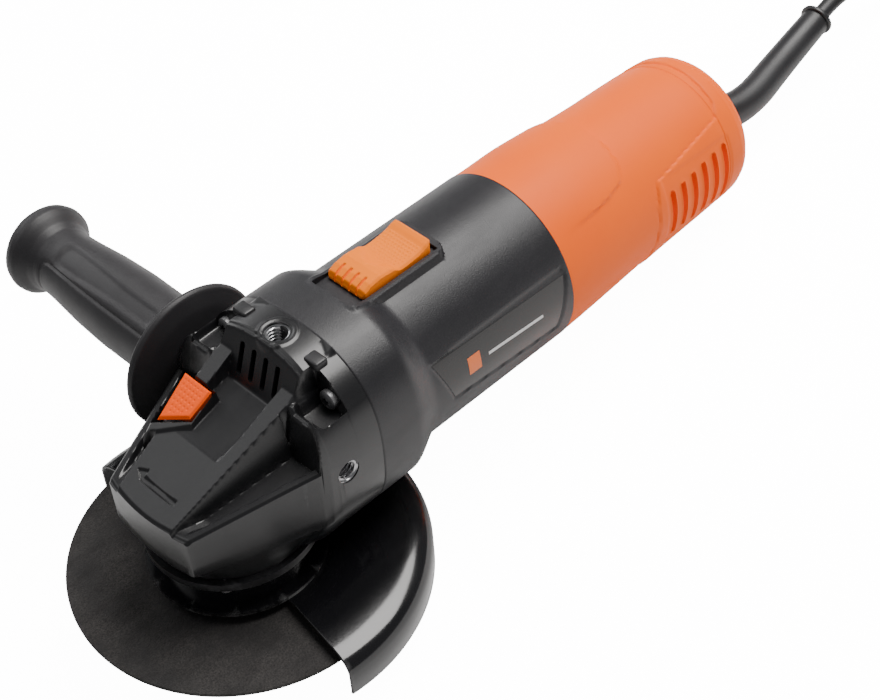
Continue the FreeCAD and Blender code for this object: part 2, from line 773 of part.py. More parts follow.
def crown_wheel():
    angle = math.atan(wheel_teeth / pinion_teeth)
    module = tooth_height()
    far = wheel_pitch_radius / math.sin(angle)
    near = far - face_width
    thick = 1.0 - backlash / 2
    teeth = bevel_teeth(wheel_teeth, angle, thick, 0.72 * module, 1.05 * module)
    outer_root = cone_point(far + 0.4, angle, 1.0 * module)
    inner_root = cone_point(near - 0.3, angle, 1.0 * module * near / far)
    blank = spun_z([(spindle_radius, 8.0), (inner_root[0], 8.0), inner_root, outer_root, (outer_root[0], 14.2),
                    (spindle_radius, 14.2)])
    wheel = blank.fuse(teeth)
    wheel.rotate(Vec(0, 0, 0), Vec(1, 0, 0), 180)
    wheel.rotate(Vec(0, 0, 0), Vec(0, 0, 1), 180 / wheel_teeth)
    pin_angle = math.degrees(math.atan2(lock_pin_y, lock_pin_x))
    reach = math.hypot(lock_pin_x, lock_pin_y)
    holes = []
    for number in range(4):
        hole = rod_z(-20, 0, lock_pin_radius + 0.25, reach, 0)
        hole.rotate(Vec(0, 0, 0), Vec(0, 0, 1), pin_angle + 90 * number)
        holes.append(hole)
    return wheel.cut(holes)


def pinion():
    angle = math.atan(pinion_teeth / wheel_teeth)
    module = tooth_height()
    far = wheel_pitch_radius / math.cos(angle)
    near = far - face_width
    thick = 1.0 - backlash / 2
    teeth = bevel_teeth(pinion_teeth, angle, thick, 0.82 * module, 0.95 * module)
    outer_root = cone_point(far + 0.3, angle, 0.9 * module)
    inner_root = cone_point(near - 0.3, angle, 0.9 * module * near / far)
    blank = spun_z([(4.0, inner_root[1]), inner_root, outer_root,
                    (outer_root[0], outer_root[1] + 1.2), (4.0, outer_root[1] + 1.2)])
    gear = blank.fuse([tooth.cut(rod_z(-1, 40, 4.05)) for tooth in teeth])
    gear.rotate(Vec(0, 0, 0), Vec(0, 1, 0), 90)
    return gear


def pinion_nut():
    nut = rod_x(12.0, 14.4, 5.6).common(hexagon_x(11, 16, 5.0))
    return nut.cut(rod_x(11, 16, 4.0))


def hexagon_x(x0, x1, inner_radius):
    corner = inner_radius / math.cos(math.radians(30))
    turns = [math.radians(60 * n) for n in range(6)]
    points = [Vec(x0, corner * math.cos(turn), corner * math.sin(turn)) for turn in turns]
    return outline_face(points).extrude(Vec(x1 - x0, 0, 0))


def spindle():
    shaft = rod_z(-43.0, -14.4, spindle_radius).fuse([rod_z(-14.4, 1.0, spindle_radius), rod_z(1.0, 12.4, 4.0)])
    seat = rod_z(-44.0, -38.2, 8.5)
    thread = rod_z(-57.5, -44.0, 6.9)
    return shaft.fuse([seat, thread])


def spindle_bush():
    return ring_z(3.5, 11.0, 8.0, 4.05)


def wheel_clip():
    return ring_z(-8.0, -7.0, 8.0, spindle_radius)


def inner_flange():
    return ring_z(disc_top, -44.0, 20.5, 6.9)


def cutting_disc():
    return ring_z(disc_top - disc_thickness, disc_top, disc_radius, 6.9)


def clamp_nut():
    top = disc_top - disc_thickness
    nut = ring_z(top - 2.4, top, 20.0, 6.9).fuse(ring_z(top - 6.4, top - 2.0, 14.0, 6.9))
    holes = [rod_z(top - 10, top - 3.4, 2.3, 10.6 * s, 0) for s in (1, -1)]
    return nut.cut(holes)


def sector(radius, start, sweep, z0, z1):
    face = Part.Face(Part.Wire(Part.makeCircle(radius, Vec(0, 0, z0), Vec(0, 0, 1), start, start + sweep).Edges
                               + Part.makePolygon([on_circle(radius, start + sweep, z0), Vec(0, 0, z0),
                                                   on_circle(radius, start, z0)]).Edges))
    return face.extrude(Vec(0, 0, z1 - z0))


def on_circle(radius, degrees, z):
    return Vec(radius * math.cos(math.radians(degrees)), radius * math.sin(math.radians(degrees)), z)


def guard_shell():
    inner = guard_radius - guard_wall
    outline = [(neck_radius - 1.0, guard_top), (guard_radius - 6, guard_top),
               (guard_radius - 2.4, guard_top - 1.2), (guard_radius - 0.5, guard_top - 3.8),
               (guard_radius, guard_top - 7), (guard_radius, guard_bottom),
               (inner, guard_bottom), (inner, guard_top - 7), (inner - 0.6, guard_top - 4.4),
               (inner - 2.4, guard_top - 2.4), (guard_radius - 6.6, guard_top - guard_wall),
               (neck_radius - 1.0, guard_top - guard_wall)]
    shell = spun_z(outline).common(sector(90, guard_start_angle, guard_sweep, -70, -20))
    return shell


def guard_collar():
    # Clamp band round the neck, welded to the guard
    band = ring_z(guard_top, -32.8, neck_radius + 0.2, neck_radius - 2.3)
    plate = ring_z(guard_top, guard_top + 1.4, neck_radius + 6.0, neck_radius - 2.3)
    ears = both_sides(box(-36.5, -25, 1.6, 4.2, -40.5, -33.0))
    band = band.fuse([plate] + ears)
    lip_groove = rod_z(collar_bottom - 0.5, collar_bottom + 2.1, neck_radius - 1.3)
    band = band.cut([box(-60, -20, -1.6, 1.6, -50, -20), lip_groove])
    band = band.cut([rod_y(-10, 10, 2.1, -32.0, -36.6)])
    return turned_clamp(band)


def turned_clamp(shape):
    # The clamp is drawn at the front and sits round on the handle's side
    shape.rotate(Vec(0, 0, 0), Vec(0, 0, 1), clamp_turn)
    return shape


def guard_screw():
    # Clamp screw across the collar's two ears, with its nut
    shank = rod_y(-8.6, 4.2, 2.0, -32.0, -36.6)
    nut = rod_y(-7.4, -4.2, 3.6, -32.0, -36.6)
    return turned_clamp(shank.fuse([rod_y(4.2, 7.4, 3.6, -32.0, -36.6), nut]))


# ---- Side handle ------------------------------------------------------------------------------------

def handle_profile():
    # Radius of the grip along the handle, from the head outwards
    return [(handle_seat, 9.0), (43.0, 11.0), (44.0, 28.6), (46.4, 28.8), (48.0, 27.5), (49.4, 17.5),
            (54, 15.6),
            (64, 15.8), (80, 16.0), (96, 15.2), (110, 13.9), (119, 13.2), (124, 13.6), (128, 16.2), (131, 17.8),
            (134.5, 17.4), (137, 14.0), (handle_end, 8.0)]


def handle_grip():
    points = [Vec(r, y, 0) for y, r in handle_profile()]
    outline = [Vec(0, handle_seat, 0)] + points + [Vec(0, handle_end, 0)]
    grip = outline_face(outline).revolve(Vec(0, 0, 0), Vec(0, 1, 0), 360)
    grip = grip.cut(rod_y(30, 72, 4.0))
    grip.translate(Vec(handle_x, 0, handle_z))
    return grip


def handle_stud():
    stud = rod_y(28.5, 70, thread_radius - 0.05, handle_x, handle_z)
    return stud.fuse(rod_y(handle_seat, 70, 3.9, handle_x, handle_z))


# ---- Cord, in the bench frame -----------------------------------------------------------------------

def strain_relief():
    radii = []
    spine = Part.Wire(path_edges(sleeve_route, radii))
    tube = spine.makePipe(round_face(sleeve_route, 6.6))
    print("sleeve radii", radii)
    ending = sleeve_route[-1] - sleeve_route[-2]
    ending.normalize()
    rim = Part.makeCylinder(7.1, 1.6, sleeve_route[-1] - ending * 1.6, ending)
    return tube.fuse(rim)


def power_cord():
    radii = []
    spine = Part.Wire(path_edges(cord_route, radii))
    tube = spine.makePipe(round_face(cord_route, cord_radius))
    print("cord radii", radii)
    print("cord tube", round(spine.Length, 1), "mm, volume over section times length",
          round(tube.Volume / (math.pi * cord_radius ** 2 * spine.Length), 4))
    return tube


def cord_coil():
    outer = coil_turn_radius + coil_wide / 2
    inner = coil_turn_radius - coil_wide / 2
    ring = ring_z(0.0, coil_height, outer, inner)
    top_edges = [e for e in ring.Edges if e.Closed and abs(e.Vertexes[0].Z - coil_height) < 0.1]
    ring = ring.makeFillet(5.0, top_edges)
    ring.translate(coil_centre)
    return ring


def plug_body():
    base = coil_centre + Vec(-plug_length / 2, -12.0, coil_height)
    body = Part.makeBox(plug_length, 26, 15, base)
    upright = [e for e in body.Edges if abs(e.Vertexes[0].Z - e.Vertexes[-1].Z) > 1]
    body = body.makeFillet(7.0, upright)
    return body


def plug_pins():
    pins = []
    for y in (-8.5, 10.5):
        start = coil_centre + Vec(plug_length / 2, y, coil_height + 7.5)
        pins.append(Part.makeCylinder(2.4, 19.0, start, Vec(1, 0, 0)))
    return pins


# ---- Writing the parts ------------------------------------------------------------------------------

def to_bench(shape):
    turn = FreeCAD.Rotation(Vec(0, 1, 0), lie_angle)
    place = FreeCAD.Placement(Vec(spindle_x, spindle_y, spindle_height), turn)
    moved = shape.copy()
    moved.Placement = place.multiply(moved.Placement)
    return moved


def save(name, shape, lay_down=True):
    if isinstance(shape, list):
        shape = shape[0] if len(shape) == 1 else Part.Compound(shape)
    if lay_down:
        shape = to_bench(shape)
    shape.exportStep("parts/" + name + ".step")


def main():
    os.makedirs("parts", exist_ok=True)
    front_outer, front_inner = ball_bearing_x(front_bearing_front, 33.0, 4.0, 13.0)
    rear_outer, rear_inner = ball_bearing_x(rear_bearing_front, rear_bearing_front + 6, 3.5, 9.5)
    top = lower_bearing_top
    low_outer, low_inner = turned_down(list(ball_bearing_x(-top, -top + lower_bearing_height, 6.0, 16.0)))
    low_balls = turned_down(bearing_balls_x(-top, -top + lower_bearing_height, 6.0, 16.0, 8))
    tool_pieces = {
        "gear_housing": gear_housing(), "motor_housing": motor_housing(), "rear_cover": rear_cover(),
        "bearing_cover": bearing_cover(), "bearing_cover_screws": cover_screws(),
        "gear_housing_screws": housing_screws(), "thread_inserts": thread_inserts(), "rim_plugs": rim_plugs(),
        "badge_plate": badge_plate(), "rear_cover_screws": rear_screws(), "fan_baffle": fan_baffle(),
        "stator_core": stator_core(), "stator_windings": stator_windings(), "stator_screws": stator_screws(),
        "armature_shaft": armature_shaft(), "armature_core": armature_core(),
        "armature_windings": armature_windings(), "commutator": commutator(), "cooling_fan": fan(),
        "front_bearing_outer": front_outer, "front_bearing_inner": front_inner,
        "rear_bearing_outer": rear_outer, "rear_bearing_inner": rear_inner,
        "rear_bearing_sleeve": rear_bearing_sleeve(), "spindle_bearing_outer": low_outer,
        "spindle_bearing_inner": low_inner, "spindle_bearing_balls": low_balls,
        "brush_holders": both_sides(brush_box()),
        "carbon_brush_left": brush(1), "carbon_brush_right": brush(-1),
        "brush_spring_left": brush_spring(1), "brush_spring_right": brush_spring(-1),
        "switch_module": switch_module(), "capacitor": capacitor(),
        "wiring": wiring(), "cord_clamp": cord_clamp(),
        "slide_button": slide_button(), "switch_link_rod": link_rod(),
        "lock_button": lock_button(), "lock_pin": lock_pin(), "lock_spring": lock_spring(),
        "crown_wheel": crown_wheel(), "pinion": pinion(), "pinion_nut": pinion_nut(), "spindle": spindle(),
        "spindle_bush": spindle_bush(), "wheel_clip": wheel_clip(), "inner_flange": inner_flange(),
        "cutting_disc": cutting_disc(), "clamp_nut": clamp_nut(), "guard_shell": guard_shell(),
        "guard_collar": guard_collar(), "guard_clamp_screw": guard_screw(),
        "handle_grip": handle_grip(), "handle_stud": handle_stud(),
    }
    for name, shape in tool_pieces.items():
        save(name, shape)
    bench_pieces = {
        "strain_relief": strain_relief(), "power_cord": power_cord(), "cord_coil": cord_coil(),
        "plug_body": plug_body(), "plug_pins": plug_pins(),
    }
    for name, shape in bench_pieces.items():
        save(name, shape, False)
    print(len(tool_pieces) + len(bench_pieces), "parts written")


main()
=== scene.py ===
import bpy
import bmesh
import json
from math import atan2, copysign, cos, degrees, exp, hypot, pi, radians, sin, sqrt
from mathutils import Matrix, Vector


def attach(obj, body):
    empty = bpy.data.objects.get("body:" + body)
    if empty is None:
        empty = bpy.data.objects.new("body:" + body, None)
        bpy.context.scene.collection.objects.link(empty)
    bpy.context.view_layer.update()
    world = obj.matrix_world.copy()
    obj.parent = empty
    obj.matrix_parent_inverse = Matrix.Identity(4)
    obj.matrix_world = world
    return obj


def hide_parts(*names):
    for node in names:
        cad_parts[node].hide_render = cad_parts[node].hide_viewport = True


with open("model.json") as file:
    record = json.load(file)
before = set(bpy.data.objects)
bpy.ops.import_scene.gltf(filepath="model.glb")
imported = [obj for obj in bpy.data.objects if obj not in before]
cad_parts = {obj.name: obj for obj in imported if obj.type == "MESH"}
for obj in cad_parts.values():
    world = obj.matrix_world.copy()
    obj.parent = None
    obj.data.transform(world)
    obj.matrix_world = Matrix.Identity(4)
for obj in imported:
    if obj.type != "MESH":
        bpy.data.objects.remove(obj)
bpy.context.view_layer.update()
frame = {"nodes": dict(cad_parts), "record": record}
record = frame["record"]
joints = {joint["name"]: joint for joint in record["behaviour"]["joints"]}
mm = 0.001

# The tool lies tilted on the bench. Pieces are drawn in millimetres about the spindle and the
# armature axis (x to the rear, y to the side handle, z up the spindle) and then laid on the bench.
spindleAxis = Vector(joints["spindle_spin"]["axis"]).normalized()
bodyAxis = Vector(joints["armature_spin"]["axis"]).normalized()
gearCentre = Vector(joints["spindle_spin"]["pos_m"])
turnToBench = Matrix((bodyAxis, spindleAxis.cross(bodyAxis), spindleAxis)).transposed().to_4x4()
toolToBench = Matrix.Translation(gearCentre) @ turnToBench @ Matrix.Scale(mm, 4)


cameraView = {
    "place": (-228.013, -373.538, 468.894),
    "ahead": (0.47367, 0.53266, -0.70137),
    "up": (0.52530, 0.46833, 0.71044),
    "lens": 76.09,
}


def addToScene(thing):
    bpy.context.scene.collection.objects.link(thing)


def makeCamera():
    data = bpy.data.cameras.new("camera")
    data.lens = cameraView["lens"]
    data.sensor_width = 36
    data.clip_start = 0.01
    data.clip_end = 20
    camera = bpy.data.objects.new("camera", data)
    ahead, up = [(turnToBench.to_3x3() @ Vector(cameraView[key])).normalized() for key in ("ahead", "up")]
    right = ahead.cross(up).normalized()
    up = right.cross(ahead)
    turn = Matrix((right, up, -ahead)).transposed().to_4x4()
    camera.matrix_world = Matrix.Translation(toolToBench @ Vector(cameraView["place"])) @ turn
    addToScene(camera)
    bpy.context.scene.camera = camera


def areaLight(name, place, aim, size, power, tint=(1, 1, 1)):
    data = bpy.data.lights.new(name, "AREA")
    data.shape = "RECTANGLE"
    data.size, data.size_y = size
    data.energy = power
    data.color = tint
    lamp = bpy.data.objects.new(name, data)
    lamp.location = place
    lamp.rotation_mode = "QUATERNION"
    lamp.rotation_quaternion = (Vector(aim) - Vector(place)).to_track_quat("-Z", "Y")
    addToScene(lamp)


studio = {"world": 0.2, "key": 21.0, "rear": 3.2, "front": 1.6, "floorGlow": 0.05, "floorSeen": 14.0}


def makeStudio():
    world = bpy.data.worlds.new("studio")
    bpy.context.scene.world = world
    world.use_nodes = True
    back = world.node_tree.nodes["Background"]
    back.inputs["Color"].default_value = (0.97, 0.98, 1.0, 1)
    back.inputs["Strength"].default_value = studio["world"]
    areaLight("keyLight", (0.55, -0.08, 1.0), (0.02, 0, 0.04), (0.8, 0.7), studio["key"], (1.0, 0.98, 0.96))
    areaLight("rearLight", (0.1, 1.0, 0.6), (0.0, 0, 0.04), (0.9, 0.4), studio["rear"])
    areaLight("frontLight", (-0.42, 0.62, 0.98), (-0.09, -0.03, 0.07), (0.7, 0.6), studio["front"])
    floorMesh = bpy.data.meshes.new("floor")
    bm = bmesh.new()
    bmesh.ops.create_grid(bm, x_segments=1, y_segments=1, size=3)
    bm.to_mesh(floorMesh)
    bm.free()
    floor = bpy.data.objects.new("floor", floorMesh)
    floorPaint = bpy.data.materials.new("floorPaint")
    floorPaint.use_nodes = True
    tree = floorPaint.node_tree
    shader = tree.nodes["Principled BSDF"]
    for key, value in (("Base Color", (0.92, 0.92, 0.92, 1)), ("Roughness", 0.85), ("Emission Color", (1, 1, 1, 1))):
        shader.inputs[key].default_value = value
    seen = tree.nodes.new("ShaderNodeLightPath").outputs["Is Camera Ray"]
    glow = tree.nodes.new("ShaderNodeMath")
    glow.operation = "MULTIPLY_ADD"
    glow.inputs[1].default_value = studio["floorSeen"]
    glow.inputs[2].default_value = studio["floorGlow"]
    tree.links.new(seen, glow.inputs[0])
    tree.links.new(glow.outputs[0], shader.inputs["Emission Strength"])
    floorMesh.materials.append(floorPaint)
    addToScene(floor)


makeCamera()
makeStudio()
print("camera and studio ready")


def newGroup(name, inputs, outputs):
    tree = bpy.data.node_groups.new(name, "ShaderNodeTree")
    for label, kind, value in inputs:
        socket = tree.interface.new_socket(label, in_out="INPUT", socket_type=kind)
        socket.default_value = value
    for label, kind in outputs:
        tree.interface.new_socket(label, in_out="OUTPUT", socket_type=kind)
    return tree, tree.nodes.new("NodeGroupInput"), tree.nodes.new("NodeGroupOutput")


def setInputs(node, values):
    for key, value in values.items():
        node.inputs[key].default_value = value


def addNode(tree, kind, **settings):
    node = tree.nodes.new(kind)
    for key, value in settings.items():
        setattr(node, key, value)
    return node


def feed(tree, socket, value):
    # Sets a number or a colour, or links another node's output
    if isinstance(value, (int, float)):
        socket.default_value = value
    elif isinstance(value, tuple):
        socket.default_value = (*value, 1.0)
    else:
        tree.links.new(value, socket)


def mathNode(tree, operation, first, second):
    node = addNode(tree, "ShaderNodeMath", operation=operation)
    for socket, value in zip(node.inputs, (first, second)):
        feed(tree, socket, value)
    return node.outputs[0]


def noiseNode(tree, vector, scale, detail=3.0, roughness=0.5):
    node = addNode(tree, "ShaderNodeTexNoise")
    setInputs(node, {"Detail": detail, "Roughness": roughness})
    tree.links.new(vector, node.inputs["Vector"])
    feed(tree, node.inputs["Scale"], scale)
    return node


def rampNode(tree, value, low, high):
    node = addNode(tree, "ShaderNodeMapRange", clamp=True)
    setInputs(node, {"From Min": low, "From Max": high})
    tree.links.new(value, node.inputs["Value"])
    return node.outputs["Result"]


def makeGrainGroup():
    # Fine moulded or cast grain: a height for bump and a soft mask for tone
    tree, entry, result = newGroup("fineGrain", [("Scale", "NodeSocketFloat", 2500.0)],
                                   [("Height", "NodeSocketFloat"), ("Tone", "NodeSocketFloat")])
    place = addNode(tree, "ShaderNodeTexCoord").outputs["Object"]
    small = noiseNode(tree, place, entry.outputs["Scale"], 2.0, 0.6)
    cells = addNode(tree, "ShaderNodeTexVoronoi")
    tree.links.new(place, cells.inputs["Vector"])
    tree.links.new(entry.outputs["Scale"], cells.inputs["Scale"])
    height = mathNode(tree, "ADD", small.outputs["Fac"], mathNode(tree, "MULTIPLY", cells.outputs["Distance"], 0.5))
    tree.links.new(height, result.inputs["Height"])
    tree.links.new(rampNode(tree, small.outputs["Fac"], 0.35, 0.65), result.inputs["Tone"])
    return tree


def makeDriftGroup():
    # Slow changes over a surface: handling marks and uneven sheen
    tree, entry, result = newGroup("slowDrift", [("Scale", "NodeSocketFloat", 30.0)],
                                   [("Mask", "NodeSocketFloat"), ("Smear", "NodeSocketFloat")])
    place = addNode(tree, "ShaderNodeTexCoord").outputs["Object"]
    wide = noiseNode(tree, place, entry.outputs["Scale"], 4.0, 0.55)
    stretch = addNode(tree, "ShaderNodeMapping")
    stretch.inputs["Scale"].default_value = (1.0, 4.0, 4.0)
    tree.links.new(place, stretch.inputs["Vector"])
    smear = noiseNode(tree, stretch.outputs["Vector"], entry.outputs["Scale"], 5.0, 0.65)
    tree.links.new(rampNode(tree, wide.outputs["Fac"], 0.3, 0.7), result.inputs["Mask"])
    tree.links.new(rampNode(tree, smear.outputs["Fac"], 0.42, 0.72), result.inputs["Smear"])
    return tree


def makeEdgeGroup():
    # Worn edges: sharp convex edges, broken up by noise
    tree, entry, result = newGroup("edgeWear", [("Reach", "NodeSocketFloat", 0.54)], [("Mask", "NodeSocketFloat")])
    place = addNode(tree, "ShaderNodeTexCoord").outputs["Object"]
    form = addNode(tree, "ShaderNodeNewGeometry")
    broken = noiseNode(tree, place, 260.0, 4.0, 0.6)
    lifted = mathNode(tree, "SUBTRACT", form.outputs["Pointiness"], entry.outputs["Reach"])
    edge = rampNode(tree, lifted, 0.0, 0.08)
    tree.links.new(mathNode(tree, "MULTIPLY", edge, rampNode(tree, broken.outputs["Fac"], 0.4, 0.62)),
                   result.inputs["Mask"])
    return tree


grainGroup = makeGrainGroup()
driftGroup = makeDriftGroup()
edgeGroup = makeEdgeGroup()


def placeGroup(tree, group, **values):
    node = addNode(tree, "ShaderNodeGroup", node_tree=group)
    setInputs(node, values)
    return node


def mixColour(tree, factor, first, second):
    node = addNode(tree, "ShaderNodeMix", data_type="RGBA")
    for key, value in (("Factor", factor), ("A", first), ("B", second)):
        feed(tree, node.inputs[key], value)
    return node.outputs["Result"]


def makeFinish(name, colour, dark, roughness, roughDrift=0.08, grainScale=2500.0, grainDepth=0.00002,
               grainTone=0.1, worn=None, wornRough=0.35, metallic=0.0, coat=0.0, coatRough=0.2, driftScale=28.0,
               specular=0.5, reach=0.54):
    material = bpy.data.materials.new(name)
    material.use_nodes = True
    tree = material.node_tree
    shader = tree.nodes["Principled BSDF"]
    setInputs(shader, {"Metallic": metallic, "Coat Weight": coat, "Coat Roughness": coatRough,
                       "Specular IOR Level": specular})
    grain = placeGroup(tree, grainGroup, Scale=grainScale)
    drift = placeGroup(tree, driftGroup, Scale=driftScale)
    base = mixColour(tree, drift.outputs["Mask"], colour, dark)
    toned = mixColour(tree, mathNode(tree, "MULTIPLY", grain.outputs["Tone"], grainTone), base, dark)
    rough = mathNode(tree, "ADD", mathNode(tree, "MULTIPLY", drift.outputs["Smear"], roughDrift), roughness)
    if worn is not None:
        edge = placeGroup(tree, edgeGroup, Reach=reach)
        toned = mixColour(tree, edge.outputs["Mask"], toned, worn)
        rough = mathNode(tree, "ADD", mathNode(tree, "MULTIPLY", edge.outputs["Mask"], wornRough - roughness), rough)
    tree.links.new(toned, shader.inputs["Base Color"])
    tree.links.new(rough, shader.inputs["Roughness"])
    bump = addNode(tree, "ShaderNodeBump")
    setInputs(bump, {"Strength": 1.0, "Distance": grainDepth})
    tree.links.new(grain.outputs["Height"], bump.inputs["Height"])
    tree.links.new(bump.outputs["Normal"], shader.inputs["Normal"])
    return material


# Per finish: colour, dark, roughness, roughDrift, grainScale, grainDepth, grainTone, then the rest by name
finishValues = {
    "blackCasting": (((0.010, 0.010, 0.011), (0.007, 0.007, 0.008), 0.30, 0.06, 1400.0, 0.000012, 0.2),
        {"worn": (0.035, 0.035, 0.037), "coat": 0.15, "coatRough": 0.16}),
    "blackPlastic": (((0.017, 0.016, 0.019), (0.011, 0.011, 0.013), 0.40, 0.08, 2200.0, 0.00005, 0.6), {}),
    "orangePlastic": (((1.0, 0.14, 0.0), (0.97, 0.125, 0.0), 0.5, 0.06, 2600.0, 0.00002, 0.12),
        {"specular": 0.18}),
    "slidePlastic": (((1.0, 0.22, 0.0), (0.97, 0.2, 0.0), 0.5, 0.06, 2200.0, 0.00001, 0.1), {"specular": 0.12}),
    "lockPlastic": (((1.0, 0.11, 0.0), (0.96, 0.09, 0.0), 0.5, 0.06, 2200.0, 0.00001, 0.1), {"specular": 0.15}),
    "handlePlastic": (((0.024, 0.023, 0.025), (0.018, 0.017, 0.019), 0.46, 0.08, 2200.0, 0.00003, 0.4), {}),
    "badgeGloss": (((0.02, 0.018, 0.018), (0.016, 0.015, 0.015), 0.22, 0.04, 3000.0, 0.000003, 0.1), {}),
    "guardPaint": (((0.006, 0.006, 0.007), (0.004, 0.004, 0.005), 0.16, 0.06, 900.0, 0.000008, 0.1),
        {"worn": (0.2, 0.2, 0.2), "coat": 0.25, "coatRough": 0.1}),
    "blackRubber": (((0.022, 0.022, 0.024), (0.015, 0.015, 0.016), 0.38, 0.1, 1800.0, 0.00001, 0.2), {}),
    "abrasive": (((0.045, 0.04, 0.037), (0.008, 0.007, 0.007), 0.75, 0.1, 1500.0, 0.00025, 0.9),
        {"driftScale": 60.0}),
    "steel": (((0.5, 0.5, 0.51), (0.4, 0.4, 0.41), 0.28, 0.1, 1200.0, 0.000006, 0.2), {"metallic": 1.0}),
    "brightSteel": (((0.72, 0.72, 0.73), (0.6, 0.6, 0.61), 0.16, 0.08, 1200.0, 0.000003, 0.1),
        {"metallic": 1.0}),
    "blackSteel": (((0.14, 0.14, 0.145), (0.09, 0.09, 0.095), 0.36, 0.1, 1500.0, 0.00001, 0.2),
        {"worn": (0.4, 0.4, 0.4), "metallic": 0.6}),
    "gearSteel": (((0.3, 0.3, 0.31), (0.2, 0.2, 0.21), 0.3, 0.1, 900.0, 0.00001, 0.3), {"metallic": 1.0}),
    "lamination": (((0.25, 0.25, 0.26), (0.12, 0.12, 0.13), 0.45, 0.1, 2500.0, 0.00002, 0.4),
        {"metallic": 1.0}),
    "copper": (((0.62, 0.22, 0.09), (0.42, 0.13, 0.05), 0.3, 0.1, 1600.0, 0.00006, 0.4),
        {"metallic": 1.0, "coat": 0.5}),
    "brass": (((0.74, 0.53, 0.2), (0.6, 0.4, 0.14), 0.26, 0.1, 1200.0, 0.000006, 0.2), {"metallic": 1.0}),
    "carbon": (((0.02, 0.02, 0.02), (0.012, 0.012, 0.012), 0.6, 0.1, 2500.0, 0.00003, 0.4), {}),
    "innerPlastic": (((0.04, 0.04, 0.042), (0.03, 0.03, 0.031), 0.45, 0.1, 2200.0, 0.00002, 0.3), {}),
    "capacitorCase": (((0.7, 0.5, 0.04), (0.6, 0.4, 0.03), 0.3, 0.1, 1500.0, 0.00001, 0.1), {}),
}
finishes = {name: makeFinish(name, *plain, **extra) for name, (plain, extra) in finishValues.items()}

# slots whose finish has another name than their own
otherFinishes = {"fan_plastic": "innerPlastic", "badge": "badgeGloss", "wire_sheath": "blackRubber",
                 "spring_steel": "steel"}


def finishOf(slot):
    first, *rest = slot.split("_")
    return finishes[otherFinishes.get(slot, first + "".join(word.capitalize() for word in rest))]


def dressCadNodes():
    slotOf = {part["node"]: part["material_slot"] for part in record["subparts"]}
    for node, piece in frame["nodes"].items():
        piece.data.materials.clear()
        piece.data.materials.append(finishOf(slotOf[node]))


dressCadNodes()
print("finishes ready")


def soft(low, high, value):
    share = min(max((value - low) / (high - low), 0.0), 1.0)
    return share * share * (3 - 2 * share)


def softMax(first, second, width):
    share = max(width - abs(first - second), 0.0) / width
    return max(first, second) + share * share * width / 4


def softMin(first, second, width):
    return -softMax(-first, -second, width)


def along(points, value):
    # Straight-line reading of a list of (place, amount) pairs
    if value <= points[0][0]:
        return points[0][1]
    for (x0, y0), (x1, y1) in zip(points, points[1:]):
        if value <= x1:
            return y0 + (y1 - y0) * (value - x0) / (x1 - x0)
    return points[-1][1]


def insideDepth(corners, x, y):
    # Distance in from the nearest side of a convex outline given anticlockwise; negative outside
    depth = 1e9
    for (x0, y0), (x1, y1) in zip(corners, corners[1:] + corners[:1]):
        length = hypot(x1 - x0, y1 - y0)
        depth = min(depth, ((x1 - x0) * (y - y0) - (y1 - y0) * (x - x0)) / length)
    return depth


def makePiece(name, bm, finish, body, nodes, lay=toolToBench):
    bmesh.ops.remove_doubles(bm, verts=bm.verts, dist=0.0005)
    bmesh.ops.recalc_face_normals(bm, faces=bm.faces)
    bm.transform(lay)
    mesh = bpy.data.meshes.new(name)
    bm.to_mesh(mesh)
    bm.free()
    for face in mesh.polygons:
        face.use_smooth = True
    mesh.set_sharp_from_angle(angle=radians(34))
    piece = bpy.data.objects.new(name, mesh)
    addToScene(piece)
    mesh.materials.append(finishes[finish])
    assign(piece, body, nodes)
    return piece


def assign(piece, body, nodes):
    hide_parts(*nodes)
    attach(piece, body)


def newestVerts(made):
    return [item for item in made["geom"] if isinstance(item, bmesh.types.BMVert)]


def aroundBody(x, radius, angle, lift=0.0):
    return Vector((x, radius * cos(angle), radius * sin(angle) + lift))


def carryOn(bm, edges):
    # Extends a loop of edges by one ring
    made = bmesh.ops.extrude_edge_only(bm, edges=edges)
    fresh = newestVerts(made)
    known = set(fresh)
    edges = [item for item in made["geom"] if isinstance(item, bmesh.types.BMEdge)
             and item.verts[0] in known and item.verts[1] in known]
    return edges, fresh


def roundEdges(bm, edges, width, steps):
    bmesh.ops.bevel(bm, geom=edges, offset=width, segments=steps, affect="EDGES", profile=0.5, material=-1)


def ringShell(bm, stations, segments, placeAt, closeEnds=False):
    # Rings joined along a path; placeAt(station, angle) says where each point of a ring goes
    ring = bmesh.ops.create_circle(bm, segments=segments, radius=1.0)["verts"]
    angles = [atan2(vert.co.y, vert.co.x) for vert in ring]
    edges = [edge for edge in bm.edges if edge.verts[0] in set(ring)]
    first = edges
    for vert, angle in zip(ring, angles):
        vert.co = placeAt(stations[0], angle)
    current = dict(zip(ring, angles))
    for station in stations[1:]:
        edges, fresh = carryOn(bm, edges)
        following = {}
        for vert in fresh:
            for link in vert.link_edges:
                other = link.other_vert(vert)
                if other in current:
                    following[vert] = current[other]
        for vert, angle in following.items():
            vert.co = placeAt(station, angle)
        current = following
    if closeEnds:
        bmesh.ops.contextual_create(bm, geom=edges)
        bmesh.ops.contextual_create(bm, geom=first)
    else:
        bmesh.ops.bridge_loops(bm, edges=edges + first)


